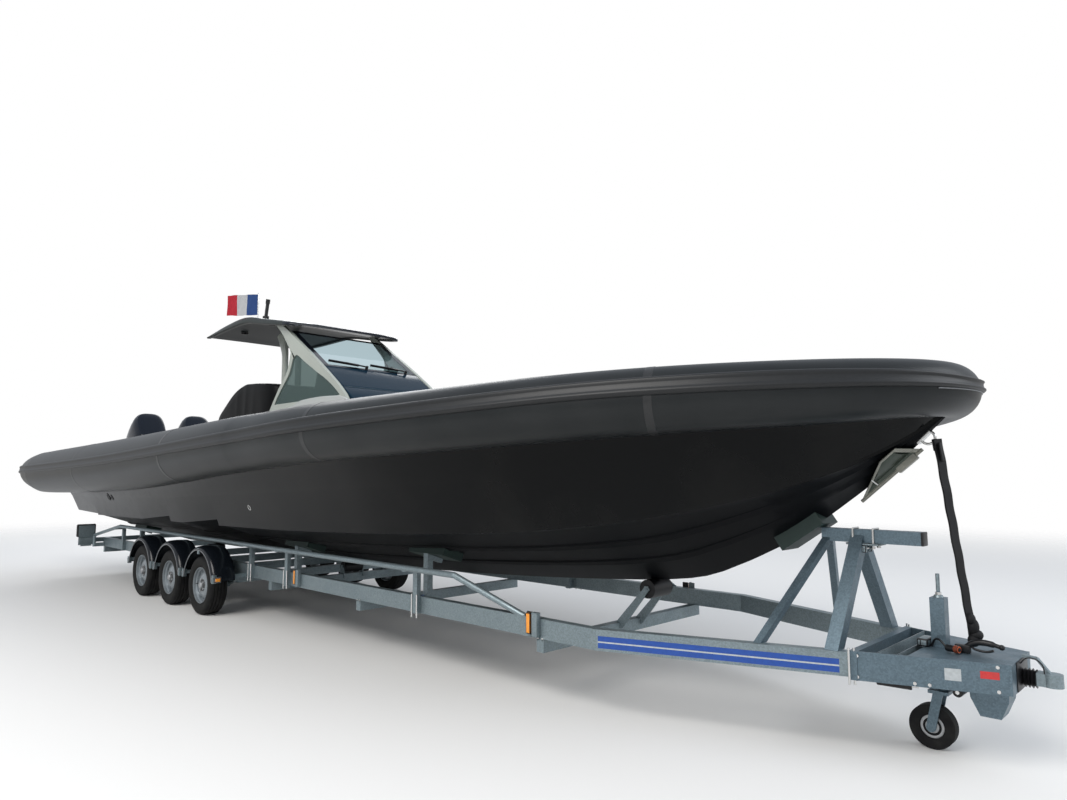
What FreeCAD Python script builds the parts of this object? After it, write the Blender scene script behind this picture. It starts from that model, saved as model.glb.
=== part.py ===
import FreeCAD, Part
import math
import os

V = FreeCAD.Vector

# Rigid inflatable boat on its three-axle road trailer. Millimetres, X forward to the bow,
# Y to port, Z up from the ground, origin on the ground under the middle of the length.

# Running gaps
seat_gap = 0.4
touch_gap = 0.3
turn_gap = 6.0
shaft_gap = 0.1

# Road wheels and axles
tyre_radius = 289.0
tyre_width = 185.0
tyre_centre_y = 1110.0
bead_radius = 178.0
rim_wall = 5.0
rim_width = 150.0
disc_thick = 8.0
disc_inset = 22.0
hub_radius = 92.0
rim_holes = 10
rim_hole_circle = 146.0
rim_hole_radius = 11.0
stub_radius = 22.0
axle_front_x = -650.0
axle_spacing = 845.0
axle_tube = 80.0
arm_length = 160.0
arm_thick = 34.0

# Main rails
rail_outer_y = 882.0
rail_width = 60.0
rail_top = 506.0
rail_height = 120.0
rail_tail_x = -4880.0
rail_bend_x = 4250.0
rail_turn_deg = 19.9
drawbar_rear_x = 5520.0
drawbar_front_x = 6170.0
drawbar_top = 515.0
drawbar_height = 142.0
plate_thick = 8.0
brake_box_low = 224.0
cross_height = 80.0
cross_width = 60.0
cross_xs = (-4790.0, -3130.0, 250.0, 1770.0, 3810.0)
rail_inner_y = rail_outer_y - rail_width
rail_bottom = rail_top - rail_height
rail_slope = math.tan(math.radians(rail_turn_deg))

# Mudguards
guard_radius = 392.0
guard_thick = 6.0
guard_width = 225.0
guard_dome = 16.0
guard_foot_z = 362.0
guard_stay = 34.0

# Guide rail beside the hull
guide_y = 1010.0
guide_tube = 42.0
guide_z = 722.0
guide_tail_x = -3750.0
guide_knee_x = 3120.0
guide_foot_x = 3640.0
guide_end_x = -4835.0
guide_end_z = 545.0
guide_post_xs = (-3950.0, -130.0, 600.0, 2560.0)
lamp_inner_y = 970.0
lamp_outer_y = 1210.0
lamp_z = 610.0
lamp_height = 180.0
# Lenses across a tail lamp, as parts of its breadth
lamp_lenses = ((0.08, 0.30), (0.34, 0.66), (0.70, 0.92))

# Hull supports
pad_xs = (-3560.0, 600.0, 2560.0)
pad_y = 720.0
pad_length = 420.0
pad_breadth = 190.0
pad_thick = 55.0
post_size = 50.0
# Keel rollers: x of the cross member that carries it, x of the roller, radius
roller_places = ((-3130.0, -3130.0, 41.0), (250.0, 250.0, 52.0), (3810.0, 4060.0, 62.0))
roller_width = 210.0
roller_pin_radius = 10.0

# Bow stand
stand_rear_x = 5240.0
stand_front_x = 5770.0
stand_z = 1060.0
stand_size = 72.0
stand_leg_x = 5440.0
stand_strut_x = 5190.0
leg_size = 70.0
strut_size = 40.0
stem_pad_x = 5130.0
stem_pad_length = 300.0

# Coupling and jockey wheel
shaft_z = 430.0
shaft_radius = 28.0
bellows_radius = 46.0
bellows_folds = 4
ball_radius = 25.0
ball_x = 6308.0
coupling_front_x = 6350.0
jockey_x = 5830.0
jockey_casing_size = 70.0
jockey_casing_top = 765.0
jockey_tube_radius = 24.0
jockey_radius = 110.0
jockey_width = 62.0
jockey_trail = 55.0
jockey_lift = 40.0
jockey_tube_low = 298.0

# Hull
cockpit_floor_z = 1200.0
cockpit_rear_x = -3650.0
cockpit_front_x = 3300.0
cockpit_half = 980.0
running_end_x = -4030.0
transom_x = -4930.0
transom_bottom_z = 905.0
engine_well_z = 1290.0
step_xs = (-225.0, -1470.0)
step_rise = 62.0
step_run = 890.0

# Stations of the hull: x, keel z, chine half breadth, chine z
hull_stations = (
    (running_end_x, 470.0, 1200.0, 880.0),
    (-1960.0, 480.0, 1200.0, 900.0),
    (720.0, 512.0, 1200.0, 932.0),
    (2320.0, 568.0, 1190.0, 980.0),
    (3530.0, 640.0, 1060.0, 1040.0),
    (4350.0, 722.0, 830.0, 1130.0),
    (4970.0, 968.0, 560.0, 1262.0),
    (5454.0, 1295.0, 290.0, 1430.0),
    (5773.0, 1563.0, 95.0, 1612.0),
    (5912.0, 1705.0, 22.0, 1722.0),
)
deck_rise = 28.0

# Stations of the collar: x, half breadth of its centre line, z, radius, then the strake's angle
# and breadth
collar_stations = (
    (-6350.0, 1550.0, 1460.0, 14.0, 0.0, 104.0),
    (-6262.0, 1548.0, 1455.0, 92.0, 4.0, 104.0),
    (-5990.0, 1535.0, 1446.0, 192.0, 8.0, 104.0),
    (-5560.0, 1512.0, 1441.0, 262.0, 9.0, 104.0),
    (-4930.0, 1500.0, 1442.0, 290.0, 9.0, 104.0),
    (-1960.0, 1500.0, 1515.0, 290.0, 9.0, 104.0),
    (720.0, 1550.0, 1640.0, 240.0, 8.0, 104.0),
    (1300.0, 1549.0, 1665.0, 228.0, 9.0, 104.0),
    (2320.0, 1540.0, 1705.0, 210.0, 12.0, 104.0),
    (3530.0, 1385.0, 1742.0, 198.0, 17.0, 104.0),
    (4350.0, 1160.0, 1778.0, 190.0, 20.0, 104.0),
    (4970.0, 900.0, 1802.0, 180.0, 20.0, 104.0),
    (5500.0, 580.0, 1821.0, 167.0, 18.0, 100.0),
    (5820.0, 285.0, 1837.0, 151.0, 13.0, 82.0),
    (5930.0, 0.0, 1843.0, 143.0, 6.0, 58.0),
)
collar_seam = 7
strake_height = 20.0

# Deckhouse, windscreen and hardtop
console_half = 600.0
console_rear_x = -540.0
console_front_x = 1100.0
console_top = 2062.0
glass_foot_x = 560.0
glass_foot_z = 2472.0
glass_head_x = -150.0
glass_head_z = 2952.0
glass_thick = 8.0
frame_thick = 40.0
window_thick = 10.0
# Side outlines (x, z) of the silver frames beside the windscreen, from the roof down the front edge
# and back up the rear edge, and of the window in each
frame_outline = (
    (-440.0, 3040.0), (-215.0, 3040.0), (-215.0, 2998.0), (1140.0, 2062.3), (-480.0, 2062.3),
    (-318.0, 2300.0), (-150.0, 2540.0), (-78.0, 2655.0), (-110.0, 2730.0),
)
frame_hole = (
    (10.0, 2634.0), (68.0, 2629.0), (290.0, 2514.0), (500.0, 2400.0), (700.0, 2275.0),
    (880.0, 2148.0), (-375.0, 2139.0), (-252.0, 2318.0), (-95.0, 2534.0), (-20.0, 2625.0),
)
# Upper outline (x, z) of the moulding under the windscreen, from its front up to the glass
fairing_outline = (
    (1100.0, 2062.3), (1092.0, 2100.0), (1070.0, 2122.0), (915.0, 2228.0), (897.0, 2243.0),
)

# Sections of the hardtop: x, half breadth, lower z, upper z, hollow of the underside
hardtop_sections = (
    (70.0, 640.0, 2925.0, 2962.0, 8.0),
    (-60.0, 700.0, 2940.0, 2990.0, 20.0),
    (-1040.0, 700.0, 3092.0, 3162.0, 20.0),
    (-2100.0, 655.0, 3068.0, 3096.0, 8.0),
)
hardtop_rim = 60.0
rear_leg_x = -1180.0
rear_leg_y = 85.0
rear_leg_knee_z = 2840.0

# Cover over the seats
cover_half = 520.0
cover_front_x = -580.0
cover_rear_x = -2190.0

# Foredeck lounge
lounge_rear_x = 1230.0
lounge_front_x = 2900.0
lounge_half = 560.0
lounge_top = 1745.0
sunpad_thick = 95.0

# Helm
helm_y = -260.0
helm_x = 205.0
helm_z = 2175.0
helm_radius = 180.0
helm_rake_deg = 25.0
helm_shaft = 112.0
helm_floor_z = 1330.0

# Small fittings
bow_eye_z = 1596.0
cleat_places = ((4300.0, 560.0, 1804.0), (-4300.0, 880.0, 1290.0))
flag_x = -1060.0
flag_y = -500.0
flag_pole_length = 323.0
flag_length = 385.0
flag_height = 245.0
flag_pole_radius = 8.0
mast_x = -985.0
mast_y = -440.0
mast_length = 254.0
mast_lean_deg = 12.0
marker_xs = (735.0, 3720.0)

# Outboard engines
engine_y = 345.0
tilt_x = -5180.0
tilt_z = 1420.0
tilt_stored_deg = 55.0
steer_offset = 95.0
engine_shaft_length = 900.0
propeller_radius = 185.0
cowl_length = 640.0
cowl_width = 480.0
cowl_height = 640.0


def box(x0, x1, y0, y1, z0, z1):
    return Part.makeBox(x1 - x0, y1 - y0, z1 - z0, V(x0, y0, z0))


def wire(points):
    return Part.makePolygon(list(points) + [points[0]])


def prism_y(points, y0, y1):
    # A side outline of (x, z) points drawn out across the boat.
    face = Part.Face(wire([V(x, y0, z) for x, z in points]))
    return face.extrude(V(0, y1 - y0, 0))


def prism_z(points, z0, z1):
    face = Part.Face(wire([V(x, y, z0) for x, y in points]))
    return face.extrude(V(0, 0, z1 - z0))


def loft(wires):
    return Part.makeLoft(wires, True, True)


def rod(a, b, radius):
    return Part.makeCylinder(radius, (b - a).Length, a, b - a)


def bar(a, b, wide, deep, side):
    # A rectangular bar from a to b; side is the direction of its width.
    along = (b - a).normalize()
    across = side - along * side.dot(along)
    across = across.normalize() * (wide / 2)
    up = along.cross(across).normalize() * (deep / 2)
    face = Part.Face(wire([a + across + up, a - across + up, a - across - up, a + across - up]))
    return face.extrude(b - a)


def fuse(shapes):
    return shapes[0].fuse(shapes[1:]).removeSplitter()


def mirror(shape):
    return shape.mirror(V(0, 0, 0), V(0, 1, 0))


def turned(shape, centre, axis, degrees):
    copy = shape.copy()
    copy.rotate(centre, axis, degrees)
    return copy


def save(name, shapes):
    if not isinstance(shapes, (list, tuple)):
        shapes = [shapes]
    solids = []
    for shape in shapes:
        solids.extend(shape.Solids)
    body = solids[0] if len(solids) == 1 else Part.makeCompound(solids)
    body.exportStep("parts/" + name + ".step")


# Collar sections: a circle square to the centre line, with the strake on its outer side.
def collar_frame(index, side):
    stations = collar_stations
    before = stations[max(index - 1, 0)]
    x, y, z, radius = stations[index][:4]
    if index + 1 < len(stations):
        after = stations[index + 1]
        ahead = V(after[0], side * after[1], after[2])
    else:
        ahead = V(before[0], -side * before[1], before[2])
    behind = V(before[0], side * before[1], before[2])
    along = (ahead - behind).normalize()
    out = V(along.y, -along.x, 0) * -side
    out = out.normalize()
    up = out.cross(along) * -side
    return V(x, side * y, z), along, out, up.normalize(), radius


def collar_circle(index, side):
    centre, along, out, up, radius = collar_frame(index, side)
    circle = Part.Circle(centre, along, radius)
    start = centre + up * -radius
    first = circle.parameter(start)
    edge = circle.toShape(first, first + 2 * math.pi)
    return Part.Wire([edge])


def strake_section(index, side):
    centre, along, out, up, radius = collar_frame(index, side)
    angle, breadth = collar_stations[index][4:]
    inner = radius + (seat_gap if 3 < index < 13 else seat_gap + 2.0)
    half = min(breadth / 2 / inner, 0.9)
    tall = min(strake_height, radius * 0.5)

    def at(turn, reach):
        a = math.radians(angle) + turn
        return centre + out * (math.cos(a) * reach) + up * (math.sin(a) * reach)

    arc = Part.Arc(at(-half, inner), at(0, inner), at(half, inner)).toShape()
    top = at(half * 0.6, inner + tall)
    low = at(-half * 0.6, inner + tall)
    lines = [Part.makeLine(at(half, inner), top), Part.makeLine(top, low)]
    lines.append(Part.makeLine(low, at(-half, inner)))
    return Part.Wire([arc] + lines)


def make_collar():
    count = len(collar_stations)
    sides = []
    for side in (-1, 1):
        sides.append(loft([collar_circle(i, side) for i in range(collar_seam + 1)]))
    bow = [collar_circle(i, -1) for i in range(collar_seam, count)]
    bow_far = [collar_circle(i, 1) for i in range(count - 1, collar_seam - 1, -1)]
    half_near = loft(bow)
    half_far = loft(bow_far)
    return sides, fuse([half_near, half_far])


def make_strake():
    count = len(collar_stations)
    halves = []
    for side in (-1, 1):
        halves.append(loft([strake_section(i, side) for i in range(1, count)]))
    return fuse(halves)


# Hull: a deep vee with hard chines and two steps, a decked bow and a cockpit well.
def between(rows, x):
    # Values of a table of stations at one x, in line between its two nearest rows.
    rows = sorted(rows)
    for low, high in zip(rows, rows[1:]):
        if low[0] <= x <= high[0]:
            t = (x - low[0]) / (high[0] - low[0])
            return [a + t * (b - a) for a, b in zip(low, high)]
    raise ValueError("x is off the table")


def hull_section(x, rise):
    keel, chine_y, chine_z = between(hull_stations, x)[1:]
    tube_y, tube_z, tube_r = between(collar_stations, x)[1:4]
    seat_y = max(tube_y - 0.35 * tube_r, chine_y + 4)
    deck_y = max(tube_y - 0.7 * tube_r, chine_y + 2)
    half = [V(x, -chine_y, chine_z + rise), V(x, -seat_y, tube_z - 0.55 * tube_r)]
    half.append(V(x, -deck_y, tube_z + deck_rise))
    other = [V(x, -p.y, p.z) for p in reversed(half)]
    return wire([V(x, 0, keel + rise)] + half + other)


def make_hull(collar):
    xs = [row[0] for row in hull_stations]
    ends = list(step_xs) + [running_end_x]
    pieces = [loft([hull_section(x, 0) for x in [step_xs[0]] + [q for q in xs if q > step_xs[0]]])]
    for start, end in zip(step_xs, ends[1:]):
        inside = [q for q in xs if end < q < start - step_run]
        stations = [start, start - step_run] + sorted(inside, reverse=True) + [end]
        rises = [step_rise] + [0] * (len(stations) - 1)
        pieces.append(loft([hull_section(x, rise) for x, rise in zip(stations, rises)]))
    side_y = between(collar_stations, running_end_x)[1] - 60
    aft_top = between(collar_stations, running_end_x)[2] + deck_rise
    half = hull_stations[0][2]
    aft = prism_y([(transom_x, transom_bottom_z), (running_end_x, transom_bottom_z - 20),
                   (running_end_x, aft_top), (transom_x, aft_top)], -side_y, side_y)
    for side in (-1, 1):
        rear = transom_x - 10
        flare = prism_y([(rear, 0), (running_end_x, 0), (running_end_x, 3000), (rear, 3000)], 0, 900)
        flare.rotate(V(0, 0, 0), V(1, 0, 0), -math.degrees(math.atan2(side_y - half, 300)))
        flare.translate(V(0, half, transom_bottom_z - 25))
        aft = aft.cut(flare if side > 0 else mirror(flare))
    pod = prism_y([(tilt_x + 70, 930.0), (transom_x + 60, 930.0), (transom_x + 60, 1440.0),
                   (tilt_x + 110, 1440.0)], -engine_y - 330, engine_y + 330)
    body = fuse(pieces + [aft, pod])
    well = prism_z([(cockpit_rear_x, -cockpit_half), (1900, -cockpit_half), (cockpit_front_x, -660),
                    (cockpit_front_x, 660), (1900, cockpit_half), (cockpit_rear_x, cockpit_half)],
                   cockpit_floor_z, 2400)
    engine_well = box(tilt_x - 200, running_end_x + 60, -cockpit_half, cockpit_half, engine_well_z, 2400)
    pod_keep = box(tilt_x, transom_x + 190, -engine_y - 330, engine_y + 330, engine_well_z - 1, 1440)
    body = body.cut(well).cut(engine_well.cut(pod_keep))
    for part in collar:
        body = body.cut(part)
    return max(body.Solids, key=lambda s: s.Volume)


def hull_z(x, y):
    keel, chine_y, chine_z = between(hull_stations, x)[1:]
    return keel + (chine_z - keel) * abs(y) / chine_y


# Deckhouse
def make_console():
    # A block with a well for the helm, open at the back, and a raked dash.
    low = cockpit_floor_z + touch_gap
    top = console_top + 100
    block = prism_y([(console_rear_x, low), (console_front_x + 40, low), (console_front_x - 20, console_top),
                     (console_rear_x, console_top)], -console_half - 20, console_half + 20)
    well = prism_y([(console_rear_x - 50, helm_floor_z), (dash_x(1900), helm_floor_z), (dash_x(1900), 1900),
                    (dash_x(top), top), (console_rear_x - 50, top)],
                   -console_half + 45, console_half - 45)
    return block.cut(well)


def dash_x(z):
    # The dash is square to the helm's shaft and touches its end.
    rake = math.radians(helm_rake_deg)
    end_x = helm_x + helm_shaft * math.cos(rake)
    end_z = helm_z - helm_shaft * math.sin(rake)
    return end_x + (z - end_z) * math.tan(rake)


def glass_run():
    return V(glass_head_x - glass_foot_x, 0, glass_head_z - glass_foot_z).normalize()


def make_fairing():
    # The glass stands on the moulding's upper end, which is square to it.
    half = console_half - frame_thick - 2
    low = console_top + touch_gap
    foot = V(glass_foot_x, 0, glass_foot_z)
    heel = foot + V(glass_run().z, 0, -glass_run().x) * -22
    dash_z = 2235
    outline = [(dash_x(low), low)] + list(fairing_outline)
    outline += [(foot.x, foot.z), (heel.x, heel.z), (dash_x(dash_z) + 60, dash_z + 170)]
    outline.append((dash_x(dash_z), dash_z))
    return prism_y(outline, -half, half)


def make_windscreen():
    half = console_half - frame_thick - 2
    out = V(glass_run().z, 0, -glass_run().x)
    foot = V(glass_foot_x, 0, glass_foot_z) + glass_run() * touch_gap - out * (glass_thick / 2)
    head = V(glass_head_x, 0, glass_head_z) - out * (glass_thick / 2)
    pane = bar(foot, head, 2 * half, glass_thick, V(0, 1, 0))
    return max(pane.cut(lowered_roof()).Solids, key=lambda s: s.Volume)


def make_side_frames():
    frames = []
    roof = lowered_roof()
    for side in (-1, 1):
        y0, y1 = sorted((side * console_half, side * (console_half - frame_thick)))
        plate = prism_y(frame_outline, y0, y1)
        hole = prism_y(frame_hole, y0 - 5, y1 + 5)
        frame = plate.cut(hole).cut(roof)
        frames.append(max(frame.Solids, key=lambda s: s.Volume))
    return frames


def make_windows():
    panes = []
    cx = sum(p[0] for p in frame_hole) / len(frame_hole)
    cz = sum(p[1] for p in frame_hole) / len(frame_hole)
    shape = [(x + (cx - x) * 0.004, z + (cz - z) * 0.004) for x, z in frame_hole]
    for side in (-1, 1):
        mid = side * (console_half - frame_thick / 2)
        panes.append(prism_y(shape, mid - window_thick / 2, mid + window_thick / 2))
    return panes


def make_hardtop():
    # Rounded at the rim and hollowed underneath inside it.
    wires = []
    for x, half, low, high, hollow in hardtop_sections:
        tall = high - low
        side = [(half - hardtop_rim, low + hollow), (half - 14, low), (half, low + tall * 0.3),
                (half - 5, high - tall * 0.25), (half - 26, high)]
        right = [V(x, y, z) for y, z in side]
        wires.append(wire(right + [V(x, -p.y, p.z) for p in reversed(right)]))
    return loft(wires)


def lowered_roof():
    # What stands under the roof is trimmed by this copy, which lies a gap below it.
    roof = make_hardtop()
    roof.translate(V(0, 0, -touch_gap))
    return roof


def roof_under(x):
    rows = hardtop_sections
    for high, low in zip(rows, rows[1:]):
        if low[0] <= x <= high[0]:
            t = (x - high[0]) / (low[0] - high[0])
            return high[2] + t * (low[2] - high[2])
    raise ValueError("x is off the hardtop")


def make_rear_legs():
    # Two posts that stand on the cockpit floor behind the helm and flare aft under the roof.
    legs = []
    head_x = rear_leg_x - 95
    for side in (-1, 1):
        y = side * rear_leg_y
        foot = V(rear_leg_x, y, cockpit_floor_z + touch_gap)
        knee = V(rear_leg_x, y, rear_leg_knee_z)
        head = V(head_x, y, roof_under(head_x) + 60)
        ball = Part.makeCylinder(45, 50, V(knee.x, y - 25, knee.z), V(0, 1, 0))
        leg = fuse([bar(foot, knee, 50, 90, V(0, 1, 0)), bar(knee, head, 50, 90, V(0, 1, 0)), ball])
        above = box(-2000, 0, -900, 900, 3110, 3600)
        leg = leg.cut(lowered_roof()).cut(above)
        legs.append(max(leg.Solids, key=lambda s: s.Volume))
    return legs


def make_cover():
    floor = cockpit_floor_z + touch_gap
    cover = prism_y([(cover_rear_x, floor), (cover_front_x, floor), (cover_front_x, 2330),
                     (cover_front_x - 60, 2400), (-1270, 2460), (-1500, 2410), (cover_rear_x, 2030)],
                    -cover_half, cover_half)
    for side in (-1, 1):
        y = side * rear_leg_y
        half = 25 + touch_gap
        cover = cover.cut(box(rear_leg_x - 45 - touch_gap, rear_leg_x + 45 + touch_gap, y - half, y + half,
                              floor - 1, 2600))
    return cover


def make_lounge():
    base = prism_z([(lounge_rear_x, -lounge_half), (2200, -lounge_half), (lounge_front_x, -380),
                    (lounge_front_x, 380), (2200, lounge_half), (lounge_rear_x, lounge_half)],
                   cockpit_floor_z, lounge_top)
    return base


def make_sunpad():
    low = lounge_top + touch_gap
    return prism_z([(lounge_rear_x + 20, -lounge_half + 20), (2190, -lounge_half + 20),
                    (lounge_front_x - 20, -365), (lounge_front_x - 20, 365),
                    (2190, lounge_half - 20), (lounge_rear_x + 20, lounge_half - 20)],
                   low, low + sunpad_thick)


def make_helm():
    centre = V(helm_x, helm_y, helm_z)
    ring = Part.makeTorus(helm_radius, 14, centre, V(1, 0, 0))
    hub = Part.makeCylinder(42, 26, centre + V(-13, 0, 0), V(1, 0, 0))
    spokes = []
    for turn in (90, 210, 330):
        a = math.radians(turn)
        tip = centre + V(0, math.cos(a) * helm_radius, math.sin(a) * helm_radius)
        spokes.append(bar(centre, tip, 26, 10, V(1, 0, 0)))
    shaft = rod(centre, centre + V(helm_shaft - touch_gap, 0, 0), 14)
    wheel = fuse([ring, hub, shaft] + spokes)
    return turned(wheel, centre, V(0, 1, 0), helm_rake_deg)


# Fittings on the hull
def plate(points, thick):
    a, b, c = points[0], points[1], points[2]
    normal = (b - a).cross(c - a).normalize() * thick
    return Part.Face(wire(points)).extrude(normal)


def make_anchor(hull):
    # Two flukes folded back against the stem, with the shank between them.
    tip = V(5463, 0, 1250)
    heel = V(5790, 0, 1535)
    run = (heel - tip) * 0.25
    pieces = [bar(V(5655, 0, 1430), V(5752, 0, 1512), 34, 60, V(0, 1, 0)), rod(tip, heel, 10)]
    for side in (-1, 1):
        corner = V(5620, side * 150, 1465)
        pieces.append(plate([tip, corner, corner + run, heel], 8 * side))
    shifted = hull.copy()
    shifted.translate(V(touch_gap, 0, -touch_gap))
    return max(fuse(pieces).cut(shifted).Solids, key=lambda s: s.Volume)


def make_bow_eye(hull):
    z = bow_eye_z
    x = stem_x(z)
    ring = Part.makeTorus(34, 7, V(x + 16, 0, z), V(0, 1, 0))
    base = turned(box(x - 6, x + 4, -20, 20, z - 45, z + 45), V(x, 0, z), V(0, 1, 0), 45)
    shifted = hull.copy()
    shifted.translate(V(seat_gap * 0.6, 0, -seat_gap * 0.6))
    return max(fuse([ring, base]).cut(shifted).Solids, key=lambda s: s.Volume)


def stem_x(z):
    rows = [(row[1], row[0]) for row in hull_stations[4:]]
    return between(rows, z)[1]


def make_cleats(hull):
    cleats = []
    deck = hull.copy()
    deck.translate(V(0, 0, touch_gap))
    for x, y, z in cleat_places:
        for side in (-1, 1):
            foot = box(x - 45, x + 45, side * y - 14, side * y + 14, z - 10, z + 34)
            horn = rod(V(x - 120, side * y, z + 40), V(x + 120, side * y, z + 40), 13)
            cleats.append(max(fuse([foot, horn]).cut(deck).Solids, key=lambda s: s.Volume))
    return cleats


def make_wipers():
    # Each arm stands on a boss on the glass just above its foot.
    run = glass_run()
    out = V(run.z, 0, -run.x)
    wipers = []
    for foot_y, tip_y in ((470, 60), (-60, -480)):
        foot = V(glass_foot_x, foot_y, glass_foot_z) + run * 40 + out * 24
        tip = V(glass_foot_x, tip_y, glass_foot_z) + run * 105 + out * 24
        boss = Part.makeCylinder(16, 24 - touch_gap, foot, out * -1)
        wipers.append(fuse([bar(foot, tip, 22, 12, run), boss]))
    return wipers


def roof_top(x):
    return between(hardtop_sections, x)[3]


def on_roof(shape):
    # Trims a fitting's foot to the roof's upper face.
    roof = make_hardtop()
    roof.translate(V(0, 0, touch_gap))
    return max(shape.cut(roof).Solids, key=lambda s: s.Volume)


def make_flag_pole():
    z = roof_top(flag_x + 20) + touch_gap
    pole = rod(V(flag_x, flag_y, z), V(flag_x, flag_y, z + flag_pole_length), flag_pole_radius)
    foot = rod(V(flag_x, flag_y, z), V(flag_x, flag_y, z + 30), 22)
    return fuse([pole, foot])


def make_flag():
    fly = V(-1, -0.75, 0).normalize()
    start = V(flag_x, flag_y, 0) + fly * (flag_pole_radius + seat_gap)
    a = V(start.x, start.y, roof_top(flag_x + 20) + flag_pole_length - 12 - flag_height)
    b = a + fly * flag_length
    up = V(0, 0, flag_height)
    side = fly.cross(V(0, 0, 1)).normalize() * 12
    face = Part.Face(wire([a - side, b - side, b + side, a + side]))
    return face.extrude(up)


def make_light_mast():
    foot_z = roof_top(mast_x) + touch_gap
    pivot = V(mast_x, mast_y, foot_z + 38)
    ears = []
    for side in (-1, 1):
        ears.append(box(mast_x - 26, mast_x + 26, mast_y + side * 21 - 5, mast_y + side * 21 + 5,
                        foot_z - 20, foot_z + 60))
    base = box(mast_x - 42, mast_x + 42, mast_y - 34, mast_y + 34, foot_z - 12, foot_z + 10)
    pin = Part.makeCylinder(6, 52, V(mast_x, mast_y - 26, pivot.z), V(0, 1, 0))
    foot = on_roof(fuse([base, pin] + ears))
    head = foot_z + mast_length
    stem = box(mast_x - 13, mast_x + 13, mast_y - 15, mast_y + 15, pivot.z - 18, head - 52)
    lamp = rod(V(mast_x, mast_y, head - 52), V(mast_x, mast_y, head), 24)
    bore = Part.makeCylinder(6 + shaft_gap, 60, V(mast_x, mast_y - 30, pivot.z), V(0, 1, 0))
    mast = fuse([stem, lamp]).cut(bore)
    return foot, turned(mast, pivot, V(0, 1, 0), mast_lean_deg)


def make_markers():
    lamps = []
    for x in marker_xs:
        y = rail_y(x) if x > rail_bend_x else rail_outer_y
        for side in (-1, 1):
            y0, y1 = sorted((side * (y + touch_gap), side * (y + 12)))
            a0, a1 = sorted((side * (y + 10), side * (y + 26)))
            base = box(x - 25, x + 25, y0, y1, 402, 543)
            lamps.append(fuse([base, box(x - 20, x + 20, a0, a1, 408, 537)]))
    return lamps


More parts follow.
